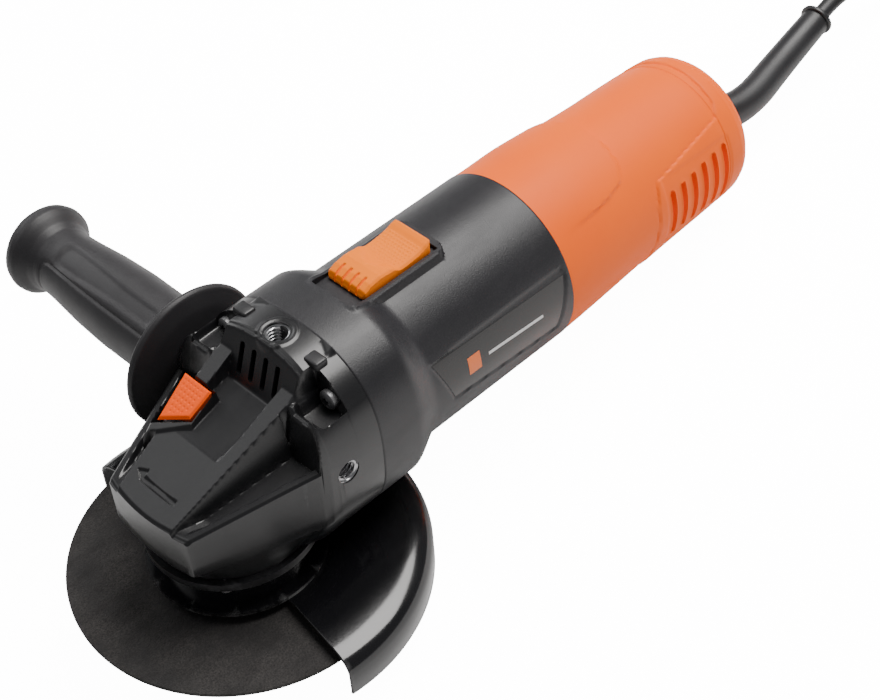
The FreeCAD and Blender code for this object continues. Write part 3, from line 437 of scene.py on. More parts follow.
def topAndSkirt(bm, across, lengthwise, placeTop, skirt):
    # A moulded top: a grid set to its heights, with its border carried down ring by ring and closed
    bmesh.ops.create_grid(bm, x_segments=lengthwise, y_segments=across, size=1.0)
    grid = {vert: (vert.co.x, vert.co.y) for vert in bm.verts}
    for vert, (along_, side) in grid.items():
        vert.co = placeTop((along_ + 1) / 2, side)
    edges = [edge for edge in bm.edges if edge.is_boundary]
    for level in range(skirt[0]):
        edges, fresh = carryOn(bm, edges)
        for vert in fresh:
            vert.co = skirt[1](level, vert.co)
    bmesh.ops.contextual_create(bm, geom=edges)


def spunPiece(bm, outline, segments, sweep=2 * pi, start=0.0):
    # A closed outline of (height, radius) turned about the spindle
    verts = [bm.verts.new((radius, 0, height)) for height, radius in outline]
    edges = [bm.edges.new(pair) for pair in zip(verts, verts[1:] + verts[:1])]
    line = Vector((0, 0, 1))
    bmesh.ops.rotate(bm, verts=verts, cent=(0, 0, 0), matrix=Matrix.Rotation(start, 3, line))
    full = abs(sweep - 2 * pi) < 1e-6
    ends = bmesh.ops.spin(bm, geom=verts + edges, cent=(0, 0, 0), axis=line, angle=sweep, steps=segments,
                          use_merge=full, use_duplicate=False)
    if not full:
        last = [item for item in ends["geom_last"] if isinstance(item, bmesh.types.BMEdge)]
        bmesh.ops.contextual_create(bm, geom=last)
        bmesh.ops.contextual_create(bm, geom=edges)


def cutAway(piece, cutter):
    # Takes the cutter's shape out of the piece for good
    change = piece.modifiers.new("cut", "BOOLEAN")
    change.operation = "DIFFERENCE"
    change.solver = "EXACT"
    change.object = cutter
    bpy.context.view_layer.update()
    result = bpy.data.meshes.new_from_object(piece.evaluated_get(bpy.context.evaluated_depsgraph_get()))
    piece.modifiers.clear()
    old = piece.data
    piece.data = result
    bpy.data.meshes.remove(old)
    bpy.data.objects.remove(cutter)


def looseCutter(bm):
    bm.transform(toolToBench)
    mesh = bpy.data.meshes.new("cutter")
    bm.to_mesh(mesh)
    bm.free()
    cutter = bpy.data.objects.new("cutter", mesh)
    addToScene(cutter)
    return cutter


def addCylinder(bm, start, end, radius, segments=32, tip=None):
    start, end = Vector(start), Vector(end)
    turn = (end - start).to_track_quat("Z", "Y").to_matrix().to_4x4()
    bmesh.ops.create_cone(bm, cap_ends=True, segments=segments, radius1=radius,
                          radius2=radius if tip is None else tip, depth=(end - start).length,
                          matrix=Matrix.Translation((start + end) / 2) @ turn)


def addBlock(bm, low, high):
    low, high = Vector(low), Vector(high)
    size = high - low
    place = Matrix.Translation((low + high) / 2) @ Matrix.Diagonal((*size, 1))
    return bmesh.ops.create_cube(bm, size=1.0, matrix=place)["verts"]


barrel = {
    "seamFront": 40.0, "seamRear": 140.0, "half": 39.0, "power": 2.6, "radius": 35.9, "wall": 2.6,
    "shoulder": (57.0, 70.5), "seatTop": 38.2, "seatHalf": 11.9, "seatEnds": (56.0, 101.0), "segments": 288,
    "badge": [(70.2, 154.8), (84.0, 154.0), (137.0, 153.6), (137.9, 159.0), (132.2, 194.6), (77.8, 187.1)],
    "badgeDepth": 0.7,
}


def barrelRadius(x, angle):
    share = soft(*barrel["shoulder"], x)
    power = barrel["power"] + (2.0 - barrel["power"]) * share
    half = barrel["half"] + (barrel["radius"] - barrel["half"]) * share
    c, s = abs(cos(angle)), abs(sin(angle))
    radius = half / (c ** power + s ** power) ** (1 / power)
    if sin(angle) > 0.8:
        front, rear = barrel["seatEnds"]
        corner = max(x - (rear - 4.0), 0.0)
        halfWide = barrel["seatHalf"] - 4.0 + sqrt(max(16.0 - corner ** 2, 0.0))
        halfWide *= soft(front - 3, front + 1, x) * (1 - soft(rear - 0.3, rear + 0.5, x))
        height = barrel["seatTop"] + 1.0 * (1 - soft(front, front + 8, x)) - 1.2 * (1 - soft(front - 2, front + 2, x))
        side = halfWide / max(c, 0.01)
        if halfWide > 0.5:
            seat = softMin(height / s, side, 1.2)
            radius = softMax(radius, seat, 1.4)
    turned = degrees(angle) % 360
    depth = insideDepth([(place, turn * 0.627) for place, turn in barrel["badge"]], x, turned * 0.627)
    radius -= barrel["badgeDepth"] * soft(-0.5, 0.4, depth)
    radius -= 0.35 * (1 - soft(0.0, 0.5, x - barrel["seamFront"])) + 0.25 * soft(-0.4, 0.0, x - barrel["seamRear"])
    return radius


def barrelPlace(station, angle):
    x, inner = station
    radius = barrelRadius(x, angle)
    if inner:
        radius = min(radius - barrel["wall"], 36.2)
    return aroundBody(x, radius, angle)


def makeBarrel():
    bm = bmesh.new()
    stations, x = [], barrel["seamFront"]
    while x < barrel["seamRear"]:
        stations.append((x, False))
        x += 0.4 if x < 42 or x > 138.5 else 0.8
    stations.append((barrel["seamRear"], False))
    stations += [(x, True) for x in (140.0, 120.0, 90.0, 71.0, 66.0, 60.0, 54.0, 40.0)]
    ringShell(bm, stations, barrel["segments"], barrelPlace)
    piece = makePiece("motorHousingShell", bm, "blackPlastic", "casing", ["motor_housing"])
    cutter = bmesh.new()
    addBlock(cutter, (56.4, -9.9, 36.6), (98.2, 9.9, 60))
    addBlock(cutter, (70, -4.2, 25), (92.5, 4.2, 60))
    cutAway(piece, looseCutter(cutter))


makeBarrel()


rearCover = {
    "profile": [(140.0, 35.9), (155.0, 35.2), (161.0, 34.9), (172.0, 34.3), (190.0, 33.2), (207.0, 32.5),
                (225.0, 31.9), (240.0, 31.3), (244.0, 30.9), (247.0, 29.8), (249.4, 27.9), (251.2, 25.0),
                (252.2, 21.0), (252.3, 14.0), (252.3, 8.3)],
    "tongueRise": 1.0,
    "tongue": [(0, 184.9), (14, 184.8), (33, 183.2), (43, 179.6), (47, 170.0), (49, 156.0), (51, 138.0), (52, 120.0)],
    "line": [(90, 239.5), (103, 239.3), (127, 238.4), (136.8, 235.4), (148.8, 194.5), (165, 192.0), (200, 190.0),
             (240, 188.0), (270, 187.5)],
    "slots": 6, "slotFirst": 200.6, "slotStep": 6.55, "slotHalf": 1.25, "slotDepth": 3.0,
    "slotTop": (161.2, 156.2), "slotEnd": (196.0, 203.0), "segments": 288,
}


def smoothProfile(x):
    reach = 1.2 if x < 243 else 0.01
    total = 0
    for step in (-1.5, -0.5, 0.5, 1.5):
        total += along(rearCover["profile"], x + step * reach * (6 if x < 236 else 1))
    return total / 4


def rearRadius(x, angle, cap=None):
    radius = smoothProfile(x) if cap is None else cap
    turned = degrees(angle) % 360
    mirrored = turned if 90 <= turned <= 270 else (180 - turned) % 360
    fromTop = abs(mirrored - 90)
    arc = radius * pi / 180
    # raised tongue on top, stepping down behind and fading out at the seam
    edge = along(rearCover["tongue"], fromTop)
    slope = (along(rearCover["tongue"], fromTop + 0.5) - edge) / (0.5 * arc)
    inside = (edge - x) / hypot(1, slope)
    if fromTop < 53:
        radius += rearCover["tongueRise"] * soft(-0.7, 0.3, inside) * soft(143, 166, x)
    # rear panel line: a fine groove with the panel behind it slightly proud
    lineAt = along(rearCover["line"], mirrored)
    rise = (along(rearCover["line"], mirrored + 0.4) - lineAt) / (0.4 * arc)
    away = (x - lineAt) / hypot(1, rise)
    fade = soft(0.3, 3.0, x - 141) if cap is None else 0
    radius += fade * (0.5 * soft(-0.4, 0.4, away) - 0.4 * exp(-(away / 0.45) ** 2))
    # vent field and its slots
    first, step, half = [rearCover[key] for key in ("slotFirst", "slotStep", "slotHalf")]
    share = (x - first) / (step * (rearCover["slots"] - 1))
    top, end = [low + share * (high - low) for low, high in (rearCover["slotTop"], rearCover["slotEnd"])]
    index = round((x - first) / step)
    if cap is None and 0 <= index < rearCover["slots"]:
        offset = abs(x - first - index * step)
        near = min((mirrored - top) * arc, (end - mirrored) * arc)
        near = min(near, half) if near > 0 else near
        rounded = half - hypot(offset, max(half - near, 0.0))
        radius -= rearCover["slotDepth"] * soft(-0.12, 0.16, rounded)
        radius += 0.28 * soft(-0.9, -0.15, rounded) * (1 - soft(-0.12, 0.1, rounded))
    frameTop = 147.0 + 2.5 * share
    frameDepth = min(x - 195.8, 238.0 - x, (mirrored - frameTop) * arc, (end + 7 - mirrored) * arc)
    radius -= 0.0 if cap is not None else 0.3 * soft(0.6, 1.4, frameDepth)
    return radius


def rearPlace(station, angle):
    x, kind = station
    if kind == "out":
        radius = rearRadius(x, angle)
    elif kind == "cap":
        radius = along([(0, 25.0), (1, 21.0), (2, 14.0), (3, 8.3)], x)
        return aroundBody(along([(0, 251.2), (1, 252.2), (2, 252.3), (3, 252.3)], x), radius, angle,
                          -4.0 * soft(0, 3, x))
    elif kind == "hole":
        return aroundBody(x, 8.3, angle, -4.0)
    else:
        radius = min(along(rearCover["profile"], x) - 3.6, 29.0 if x > 236 else 99)
    return aroundBody(x, radius, angle)


def makeRearCover():
    bm = bmesh.new()
    special = []
    for index in range(rearCover["slots"]):
        centre = rearCover["slotFirst"] + index * rearCover["slotStep"]
        special += [centre + offset for offset in (-2.2, -1.7, -1.4, -1.15, -0.8, 0.0, 0.8, 1.15, 1.4, 1.7, 2.2)]
    steady = [140.0 + 0.3 * n for n in range(4)] + [141.2 + 0.85 * n for n in range(60)]
    steady += [235.4 + 0.4 * n for n in range(30)] + [247.6 + 0.6 * n for n in range(7)]
    between = [round(192.6 + 0.6 * n, 3) for n in range(72)]
    keep = [x for x in between if all(abs(x - place) > 0.35 for place in special)]
    outer = sorted(set(steady + special + [x for x in keep if x < 235.2]))
    stations = [(x, "out") for x in outer if x < 251.1]
    stations += [(n / 2, "cap") for n in range(7)]
    stations += [(249.4, "hole"), (249.3, "in"), (240.0, "in"), (225.0, "in"), (200.0, "in"), (170.0, "in"),
                 (140.0, "in")]
    ringShell(bm, stations, rearCover["segments"], rearPlace)
    makePiece("rearCoverShell", bm, "orangePlastic", "casing", ["rear_cover"])


makeRearCover()
print("housings made")


head = {
    "noseFront": -34.4, "seam": 39.9, "ramp": (19.27, 0.4757), "rim": (8.24, 0.19),
    "recessFloor": (17.23, 0.248),
    "outline": [(-34.4, 18.0), (-33.9, 19.4), (-32.8, 20.5), (-31.0, 21.4), (8.0, 35.5), (13.0, 37.4), (17.0, 38.4),
                (24.0, 38.85), (40.0, 38.95)],
    "lip": [(-16.4, 21.2), (-4.8, 5.6), (8.6, 6.6), (8.4, 23.2)],
    "well": [(-10.6, 20.2), (-3.4, 7.5), (7.6, 7.7), (7.8, 22.7)],
    "slotsAt": (-9.0, -3.0, 3.0, 9.0), "slotLow": (18.4, -1.5, 24.0), "slotHigh": (23.9, 0.2, 34.4),
    "slotWide": 2.3, "across": 210, "lengthwise": 190,
}


def headHeight(x, y):
    side = abs(y)
    wide = along(head["outline"], x)
    ramp = head["ramp"][0] + head["ramp"][1] * x
    rim = head["rim"][0] + head["rim"][1] * x
    # ridged middle, its steep side facets and the channel inside the rim lip
    facet = 5.4 + 0.88 * (x + 29.2) - 4.128 * (side - 14.7)
    middle = softMin(ramp, facet, 0.9)
    rimWide = wide - side
    channel = rim - 2.2 * soft(2.9, 4.4, rimWide) * soft(-31.0, -20.0, x)
    height = softMax(middle, channel, 0.8)
    # recess in front of the vents, between the two ridges
    floor = head["recessFloor"][0] + head["recessFloor"][1] * x
    wallAt = 10.9 + (x + 8.5) * 0.131 - 0.35 * max(ramp - floor, 0) * soft(-8, 16, x)
    inRecess = soft(-0.5, 0.5, wallAt - side) * soft(-9.0, -8.0, x)
    height = height + (min(floor, height) - height) * inRecess
    # lock button's lip and well
    lipDepth = insideDepth(head["lip"], x, y)
    height = height + (max(ramp + 0.9, height) - height) * soft(-0.3, 0.6, lipDepth) * (1 - soft(5, 12, y - wide + 14))
    height = height + (10.8 - height) * soft(-0.7, 0.0, insideDepth(head["well"], x, y))
    # wall with the vents behind the recess, up to the bowed top edge
    bow = 26.6 - 0.0035 * side * side
    wall = 21.5 + (x - 17.2) * 1.9
    squared = (max(39.0 ** 2.6 - side ** 2.6, 0.01)) ** (1 / 2.6)
    crown = squared - 0.9 * (1 - soft(bow, bow + 1.4, x))
    if x > 14:
        backWall = softMin(wall, crown, 0.8)
        middleRear = softMax(height, backWall, 0.6) if side < 19.5 else height
        # screw pockets either side, behind a raised wall
        outer = 28.0 - 0.1 * (x - 17.4)
        wallRise = outer + (rim - outer) * (1 - soft(12.8, 18.0, x))
        inner = 21.2 + 0.06 * (x - 17) + 4.5 * (1 - soft(18.2, 21.5, x)) + 7.0 * soft(32.0, 36.0, side)
        inner += 6.0 * (1 - soft(20.0, 22.5, side))
        pocket = softMin(softMin(wallRise, max(inner, 0), 1.0), squared, 1.0)
        pocket = softMax(pocket, softMin((x - 30.6) * 30.0 + 20.0, squared, 0.8), 0.5)
        blend = soft(18.6, 20.4, side)
        height = middleRear + (pocket - middleRear) * blend
        if side > 20 and x < 18:
            height = softMax(height, softMin(wallRise, squared, 0.5), 0.5) if side > 30 else height
    # the boss round the thread mouth
    if x > 24:
        height += 0.35 * (1 - soft(0.5, 1.2, abs(hypot(x - 32, y) - 6.4)))
    # arrow mark
    mark = max(min(x + 26.6, -24.8 - x, y + 8.4, 9.5 - y), insideDepth(
        [(-26.6, 9.0), (-24.4, 12.6), (-24.2, 12.6), (-22.6, 8.6), (-24.6, 8.6)][::-1], x, y))
    height -= 0.7 * soft(-0.2, 0.25, mark)
    height -= 0.9 * (1 - soft(0.0, 1.1, rimWide)) * (1 - soft(20, 26, x)) + 0.6 * (1 - soft(0, 1.2, x - (
        head["noseFront"] + 0.0063 * y * y)))
    return height


def headTop(share, side):
    wideSide = 1.165 * side - 0.165 * side ** 7
    start = head["noseFront"] + 2.6 * side * side
    x = start + share * (head["seam"] - start)
    y = along(head["outline"], x) * wideSide
    return Vector((x, y, headHeight(x, y)))


def headSkirt(level, place):
    x, y = place.x, place.y
    target = (-1.0, -6.0, -11.0, -15.3, -17.0, -22.0, -27.0)[level]
    rearSide = (39.0 ** 2.6 - abs(target) ** 2.6) ** (1 / 2.6)
    shrink = max(0.0, min(1.0, (-15.3 - target) / 11.7))
    reach = hypot(x, y)
    roundX, roundY = (x * 29.5 / reach, y * 29.5 / reach) if reach > 29.5 else (x, y)
    toRear = soft(2.0, 26.0, x)
    newX = x + (roundX - x) * shrink * (1 - toRear)
    newY = y + (roundY - y) * shrink * (1 - toRear)
    if abs(y) > rearSide - 0.3 and toRear > 0:
        newY = newY + (copysign(rearSide, y) - newY) * toRear
    return Vector((newX, newY, target))


def makeHead():
    bm = bmesh.new()
    topAndSkirt(bm, head["across"], head["lengthwise"], headTop, (7, headSkirt))
    piece = makePiece("gearHousingShell", bm, "blackCasting", "casing", ["gear_housing"])
    cutter = bmesh.new()
    for side in (1, -1):
        addCylinder(cutter, (24.5, side * 26.0, 4), (24.5, side * 50.0, 4), 4.5, 48)
    cutAway(piece, looseCutter(cutter))
    cutter = bmesh.new()
    addCylinder(cutter, (32, 0, 27.3), (32, 0, 60), 4.5, 48)
    cutAway(piece, looseCutter(cutter))
    low, high = Vector(head["slotLow"]), Vector(head["slotHigh"])
    run = (high - low).normalized()
    out = run.cross(Vector((0, 1, 0))).normalized()
    turn = Matrix((out, run.cross(out), run)).transposed().to_4x4()
    size = Matrix.Diagonal((9.0, head["slotWide"], (high - low).length, 1))
    for place in head["slotsAt"]:
        cutter = bmesh.new()
        middle = Matrix.Translation((low + high) / 2 + Vector((0, place, 0)))
        bmesh.ops.create_cube(cutter, size=1.0, matrix=middle @ turn @ size)
        ends = [edge for edge in cutter.edges if abs((edge.verts[0].co - edge.verts[1].co).normalized().dot(out)) > 0.9]
        roundEdges(cutter, ends, head["slotWide"] * 0.48, 6)
        cutAway(piece, looseCutter(cutter))
    ring = bmesh.new()
    slabFront, slabRear = 34.9, 39.9

    def slabPlace(station, angle):
        x, scale = station
        c, s = abs(cos(angle)), abs(sin(angle))
        radius = (38.8 - 0.9 * soft(0.0, 0.4, sin(angle))) * scale / (c ** 2.6 + s ** 2.6) ** (1 / 2.6)
        return aroundBody(x, radius, angle)

    ringShell(ring, [(slabFront, 0.98), (slabFront + 0.6, 1.0), (slabRear, 1.0)], 160, slabPlace, closeEnds=True)
    makePiece("gearHousingFoot", ring, "blackCasting", "casing", ["gear_housing"])


makeHead()
print("gear housing made")


handle = {
    "axisX": 24.5, "axisZ": 4.0, "segments": 160,
    "profile": [(39.2, 8.0), (39.2, 14.0), (40.6, 22.0), (42.6, 28.2), (43.6, 28.9), (44.6, 28.9), (45.4, 28.2),
                (45.9, 25.0), (46.6, 20.5), (49.0, 17.4), (54.0, 16.0), (64.0, 15.9), (80.0, 16.0), (96.0, 15.2),
                (110.0, 13.8), (118.0, 13.2), (122.0, 13.4), (125.0, 14.6), (127.5, 16.8), (129.5, 18.1),
                (131.5, 18.3), (134.0, 17.6), (136.0, 15.9), (137.4, 12.5), (138.0, 7.0), (138.0, 1.0)],
    "panelTurn": 112.0, "panelHalf": 26.0, "panelEnds": (53.0, 114.0), "panelDepth": 0.9,
    "secondTurn": 178.0, "secondHalf": 40.0, "secondEnds": (50.0, 119.0), "groove": 0.45,
}


def handleRadius(y, angle):
    radius = along(handle["profile"], y)
    if 50 < y < 122:
        radius = 0.5 * radius + 0.25 * (along(handle["profile"], y - 2.5) + along(handle["profile"], y + 2.5))
    turned = degrees(angle) % 360
    front, rear = handle["panelEnds"]
    narrow = handle["panelHalf"] * (0.62 + 0.38 * soft(118, 70, -y + 188))
    sideways = (narrow - abs((turned - handle["panelTurn"] + 180) % 360 - 180)) * radius * pi / 180
    depth = softMin(sideways, min(y - front, rear - y) * 0.8, 3.0)
    radius -= handle["panelDepth"] * soft(0.0, 2.4, depth)
    front, rear = handle["secondEnds"]
    turnedBy = abs((turned - handle["secondTurn"] + 180) % 360 - 180)
    sideways = (handle["secondHalf"] - turnedBy) * radius * pi / 180
    depth = softMin(sideways, min(y - front, rear - y), 4.0)
    radius -= handle["groove"] * exp(-(depth / 0.5) ** 2)
    radius += 0.25 * soft(0.0, 0.8, depth)
    return radius


def handlePlace(station, angle):
    kind, y = station
    radius = handleRadius(y, angle) if kind == "grip" else along(handle["profile"], y) if kind == "turned" else y
    if kind == "start":
        radius, y = y, 39.2
    if kind == "end":
        y = 138.0
    return Vector((handle["axisX"] + radius * cos(angle), y, handle["axisZ"] + radius * sin(angle)))


def makeHandle():
    bm = bmesh.new()
    stations = [("start", 0.6), ("start", 5.0), ("start", 13.6)]
    stations += [("turned", 39.3 + 0.25 * n) for n in range(38)]
    stations += [("grip", 48.8 + 0.9 * n) for n in range(81)]
    stations += [("turned", 121.9 + 0.5 * n) for n in range(32)] + [("turned", 137.7), ("end", 8.0), ("end", 0.8)]
    ringShell(bm, stations, handle["segments"], handlePlace, closeEnds=True)
    makePiece("sideHandleGrip", bm, "handlePlastic", "casing", ["handle_grip"])


makeHandle()


guard = {
    "outline": [(-43.2, 25.9), (-43.2, 34.0), (-42.2, 36.5), (-42.2, 52.0), (-42.4, 60.0), (-43.0, 64.6),
                (-44.2, 67.4), (-46.2, 69.2), (-48.6, 70.0), (-58.3, 70.0), (-59.3, 69.6), (-59.6, 68.7),
                (-59.1, 68.1), (-58.6, 68.6), (-48.8, 68.6), (-46.9, 67.9), (-45.3, 66.4), (-44.4, 64.0),
                (-43.8, 59.8), (-43.6, 52.0), (-43.6, 37.0), (-44.6, 34.4), (-44.6, 25.9)],
    "start": -98.0, "sweep": 196.0, "steps": 120,
}


def makeGuard():
    bm = bmesh.new()
    spunPiece(bm, guard["outline"], guard["steps"], sweep=radians(guard["sweep"]),
              start=radians(guard["start"]))
    piece = makePiece("guardSkirt", bm, "guardPaint", "guard", ["guard_shell"])
    roundOver = piece.modifiers.new("roundOver", "BEVEL")
    roundOver.width = 0.35 * mm
    roundOver.segments = 2
    roundOver.limit_method = "ANGLE"
    roundOver.angle_limit = radians(40)


makeGuard()

disc = {"radius": 62.5, "top": -47.2, "bottom": -48.8, "bore": 11.1, "hub": 20.0, "steps": 192}


def makeDisc():
    bm = bmesh.new()
    top, low, edge = disc["top"], disc["bottom"], disc["radius"]
    outline = [(top, disc["bore"]), (top, disc["hub"]), (top - 0.12, disc["hub"] + 0.6), (top - 0.12, edge - 0.35),
               (top - 0.4, edge), (low + 0.4, edge), (low + 0.12, edge - 0.35), (low + 0.12, disc["hub"] + 0.6),
               (low, disc["hub"]), (low, disc["bore"])]
    spunPiece(bm, outline, disc["steps"])
    makePiece("abrasiveDisc", bm, "abrasive", "spindle_group", ["cutting_disc"])


makeDisc()
print("handle, guard and disc made")


slide = {
    "front": 63.0, "rear": 96.4, "half": 9.3, "low": 37.3, "crown": 42.4, "scoop": 40.0, "grooves": 4,
    "grooveStep": 3.6, "bumpPitch": 1.5, "bumpRise": 0.16, "across": 100, "lengthwise": 170,
}


def slideHeight(x, y):
    front, rear = slide["front"], slide["rear"]
    height = along([(front, 39.2), (front + 1.2, 40.4), (front + 4.0, 41.7), (front + 8.6, slide["crown"]),
                    (front + 10.6, slide["crown"] - 0.1), (front + 13.0, 41.9)], x)
    scoop = slide["scoop"] + 0.012 * (x - 82.0) ** 2
    notch = 73.2 + 0.55 * abs(y)
    height = height + (scoop - height) * soft(notch - 1.2, notch + 3.4, x)
    height += 0.35 * soft(rear - 4.5, rear - 2.2, x)
    height -= 0.9 * soft(slide["half"] - 1.5, slide["half"] + 0.2, abs(y)) ** 2
    height -= 0.9 * soft(rear - 1.1, rear + 0.1, x) ** 2 + 1.0 * (1 - soft(front, front + 1.0, x))
    for index in range(slide["grooves"]):
        offset = abs(y - (index - 1.5) * slide["grooveStep"])
        height -= 1.1 * (1 - soft(0.25, 0.6, offset)) * soft(-0.4, 0.4, front + 5.4 - x)
    if 79.0 + 0.3 * abs(y) < x < 92.5 and abs(y) < 7.6:
        row = round(x / slide["bumpPitch"])
        shift = 0.5 * (row % 2) * slide["bumpPitch"]
        column = round((y - shift) / slide["bumpPitch"]) * slide["bumpPitch"] + shift
        away = hypot(x - row * slide["bumpPitch"], y - column)
        height += slide["bumpRise"] * (1 - soft(0.15, 0.6, away))
    return height


def slideTop(share, side):
    x = slide["front"] + share * (slide["rear"] - slide["front"])
    corner = 2.4 if x > 80 else 1.4
    near = min(x - slide["front"], slide["rear"] - x)
    half = slide["half"] - (corner - sqrt(max(corner ** 2 - max(corner - near, 0) ** 2, 0)))
    y = half * side
    return Vector((x, y, slideHeight(x, y)))


def makeSlide():
    bm = bmesh.new()
    levels = (39.4, slide["low"])
    topAndSkirt(bm, slide["across"], slide["lengthwise"], slideTop,
                (2, lambda level, place: Vector((place.x, place.y, min(place.z, levels[level])))))
    addBlock(bm, (79, -3.6, 31.6), (91, 3.6, 37.4))
    makePiece("slideCap", bm, "slidePlastic", "power_slide", ["slide_button"])


makeSlide()


lock = {
    "corners": [(7.2, 22.3), (-9.4, 19.0), (-3.2, 8.3), (7.1, 8.3)], "rise": 1.3, "rows": 60, "dimple": 1.75,
    "dimpleDepth": 0.28, "draw": 0.9,
}


def lockTop(share, side):
    a, b, c, d = lock["corners"]
    across = (side + 1) / 2
    x = (1 - across) * ((1 - share) * c[0] + share * d[0]) + across * ((1 - share) * b[0] + share * a[0])
    y = (1 - across) * ((1 - share) * c[1] + share * d[1]) + across * ((1 - share) * b[1] + share * a[1])
    edge = insideDepth([a, b, c, d], x, y)
    height = head["ramp"][0] + head["ramp"][1] * x + lock["rise"] - 0.9 * (1 - soft(0.0, 1.0, edge)) ** 2
    if edge > 1.7:
        row = round(x / lock["dimple"])
        shift = 0.5 * (row % 2) * lock["dimple"]
        column = round((y - shift) / lock["dimple"]) * lock["dimple"] + shift
        height -= lock["dimpleDepth"] * (1 - soft(0.1, 0.55, hypot(x - row * lock["dimple"], y - column)))
    return Vector((x, y, height))


def makeLockButton():
    bm = bmesh.new()
    # the skirt draws in a little toward its foot, and is bored from below to clear the spring
    topAndSkirt(bm, lock["rows"], lock["rows"], lockTop, (1, lambda level, place: Vector((
        0.4 + (place.x - 0.4) * lock["draw"], 14.5 + (place.y - 14.5) * lock["draw"], 16.0))))
    piece = makePiece("lockButtonCap", bm, "lockPlastic", "spindle_lock", ["lock_button"])
    cutter = bmesh.new()
    addCylinder(cutter, (3.0, 12.8, 14.0), (3.0, 12.8, 20.2), 3.5, 32)
    cutAway(piece, looseCutter(cutter))


makeLockButton()
print("controls made")


badge = {"thick": 0.35}


def badgePatch(corners, columns, rows, out):
    # A thin curved plate over four corners given as (place along the body, turn about it)
    bm = bmesh.new()
    bmesh.ops.create_grid(bm, x_segments=columns, y_segments=rows, size=1.0)
    for vert in bm.verts:
        u, v = (vert.co.x + 1) / 2, (vert.co.y + 1) / 2
        x, turned = [(1 - v) * ((1 - u) * corners[0][n] + u * corners[1][n])
                     + v * ((1 - u) * corners[3][n] + u * corners[2][n]) for n in (0, 1)]
        vert.co = aroundBody(x, barrel["radius"] - barrel["badgeDepth"] + out, radians(turned))
    made = bmesh.ops.extrude_face_region(bm, geom=list(bm.faces))
    for vert in newestVerts(made):
        vert.co = Vector((vert.co.x, vert.co.y * (1 - badge["thick"] / 35), vert.co.z * (1 - badge["thick"] / 35)))
    return bm


def makeBadge():
    finishes["badgeMark"] = makeFinish("badgeMark", (0.95, 0.2, 0.03), (0.9, 0.17, 0.02), 0.3)
    finishes["badgeLine"] = makeFinish("badgeLine", (0.75, 0.75, 0.75), (0.7, 0.7, 0.7), 0.3)
    plate = badgePatch([(78.4, 186.2), (131.8, 193.4), (137.2, 158.8), (71.0, 155.6)], 60, 24, 0.12)
    makePiece("badgePlate", plate, "badgeGloss", "casing", ["badge_plate"])
    mark = badgePatch([(86.0, 178.0), (92.0, 178.0), (92.0, 166.0), (86.0, 166.0)], 10, 12, 0.2)
    makePiece("badgeMark", mark, "badgeMark", "casing", [])
    line = badgePatch([(96.0, 173.5), (124.0, 176.2), (124.0, 174.2), (96.0, 171.5)], 30, 4, 0.2)
    makePiece("badgeLine", line, "badgeLine", "casing", [])


makeBadge()


def torxScrew(bm, x, y, z, radius, deep):
    # Pan head with a six-lobed socket, facing forward along the body
    turn = Matrix.Rotation(radians(-90), 4, "Y")
    place = Matrix.Translation((x, y, z)) @ turn
    socket = "socket"
    rings = [(deep, radius * 0.98), (0.5, radius), (0.0, radius * 0.86), (-0.5, radius * 0.55), (-0.5, socket),
             (1.6, socket)]

    def screwPlace(station, angle):
        level, reach = station
        if reach == socket:
            reach = radius * (0.44 + 0.095 * cos(6 * angle))
        return place @ Vector((reach * cos(angle), reach * sin(angle), -level))

    ringShell(bm, rings, 36, screwPlace, closeEnds=True)


def makeScrews():
    bm = bmesh.new()
    for side in (1, -1):
        torxScrew(bm, 28.6, side * 26.2, 26.2, 3.7, 2.6)
        torxScrew(bm, 28.6, side * 27.5, -27.5, 3.7, 2.6)
    for side in (1, -1):
        for height in (27.5, -27.5):
            addCylinder(bm, (30.6, side * 27.5, height), (57.0, side * 27.5, height), 1.95)
    makePiece("housingScrews", bm, "blackSteel", "casing", ["gear_housing_screws"])


makeScrews()

threads = {"outer": 4.98, "crest": 3.45, "root": 4.1, "pitch": 1.5, "turns": 7}


def threadTube(bm, start, aim):
    # Bright mouth with a spiral thread inside
    turn = Vector(aim).to_track_quat("Z", "Y").to_matrix().to_4x4()
    place = Matrix.Translation(start) @ turn
    deep = threads["turns"] * threads["pitch"]

    def threadPlace(station, angle):
        kind, level, reach = station
        if kind == "thread":
            phase = (level / threads["pitch"] + angle / (2 * pi)) % 1.0
            tooth = abs(2 * phase - 1)
            reach = threads["crest"] + (threads["root"] - threads["crest"]) * soft(0.2, 0.8, tooth)
        return place @ Vector((reach * cos(angle), reach * sin(angle), -level))

    stations = [("flat", deep, threads["outer"]), ("flat", 0.0, threads["outer"]),
                ("flat", 0.0, threads["root"] + 0.35), ("flat", 0.35, threads["root"] + 0.05)]
    stations += [("thread", 0.5 + 0.15 * n, 0) for n in range(int((deep - 0.6) / 0.15))]
    ringShell(bm, stations, 40, threadPlace)


def makeThreads():
    bm = bmesh.new()
    threadTube(bm, (32, 0, 38.3), (0, 0, 1))
    for side in (1, -1):
        threadTube(bm, (24.5, side * 38.4, 4.0), (0, side, 0))
    makePiece("threadMouths", bm, "steel", "casing", ["thread_inserts"])


makeThreads()


def makePlugs():
    bm = bmesh.new()
    for side in (1, -1):
        verts = addBlock(bm, (30.0, side * 18.2 - 3.4, 35.0), (35.4, side * 18.2 + 3.4, 38.55))
        edges = list({edge for vert in verts for edge in vert.link_edges})
        roundEdges(bm, edges, 0.9, 3)
    makePiece("topPlugs", bm, "blackRubber", "casing", ["rim_plugs"])


makePlugs()
print("small fittings made")


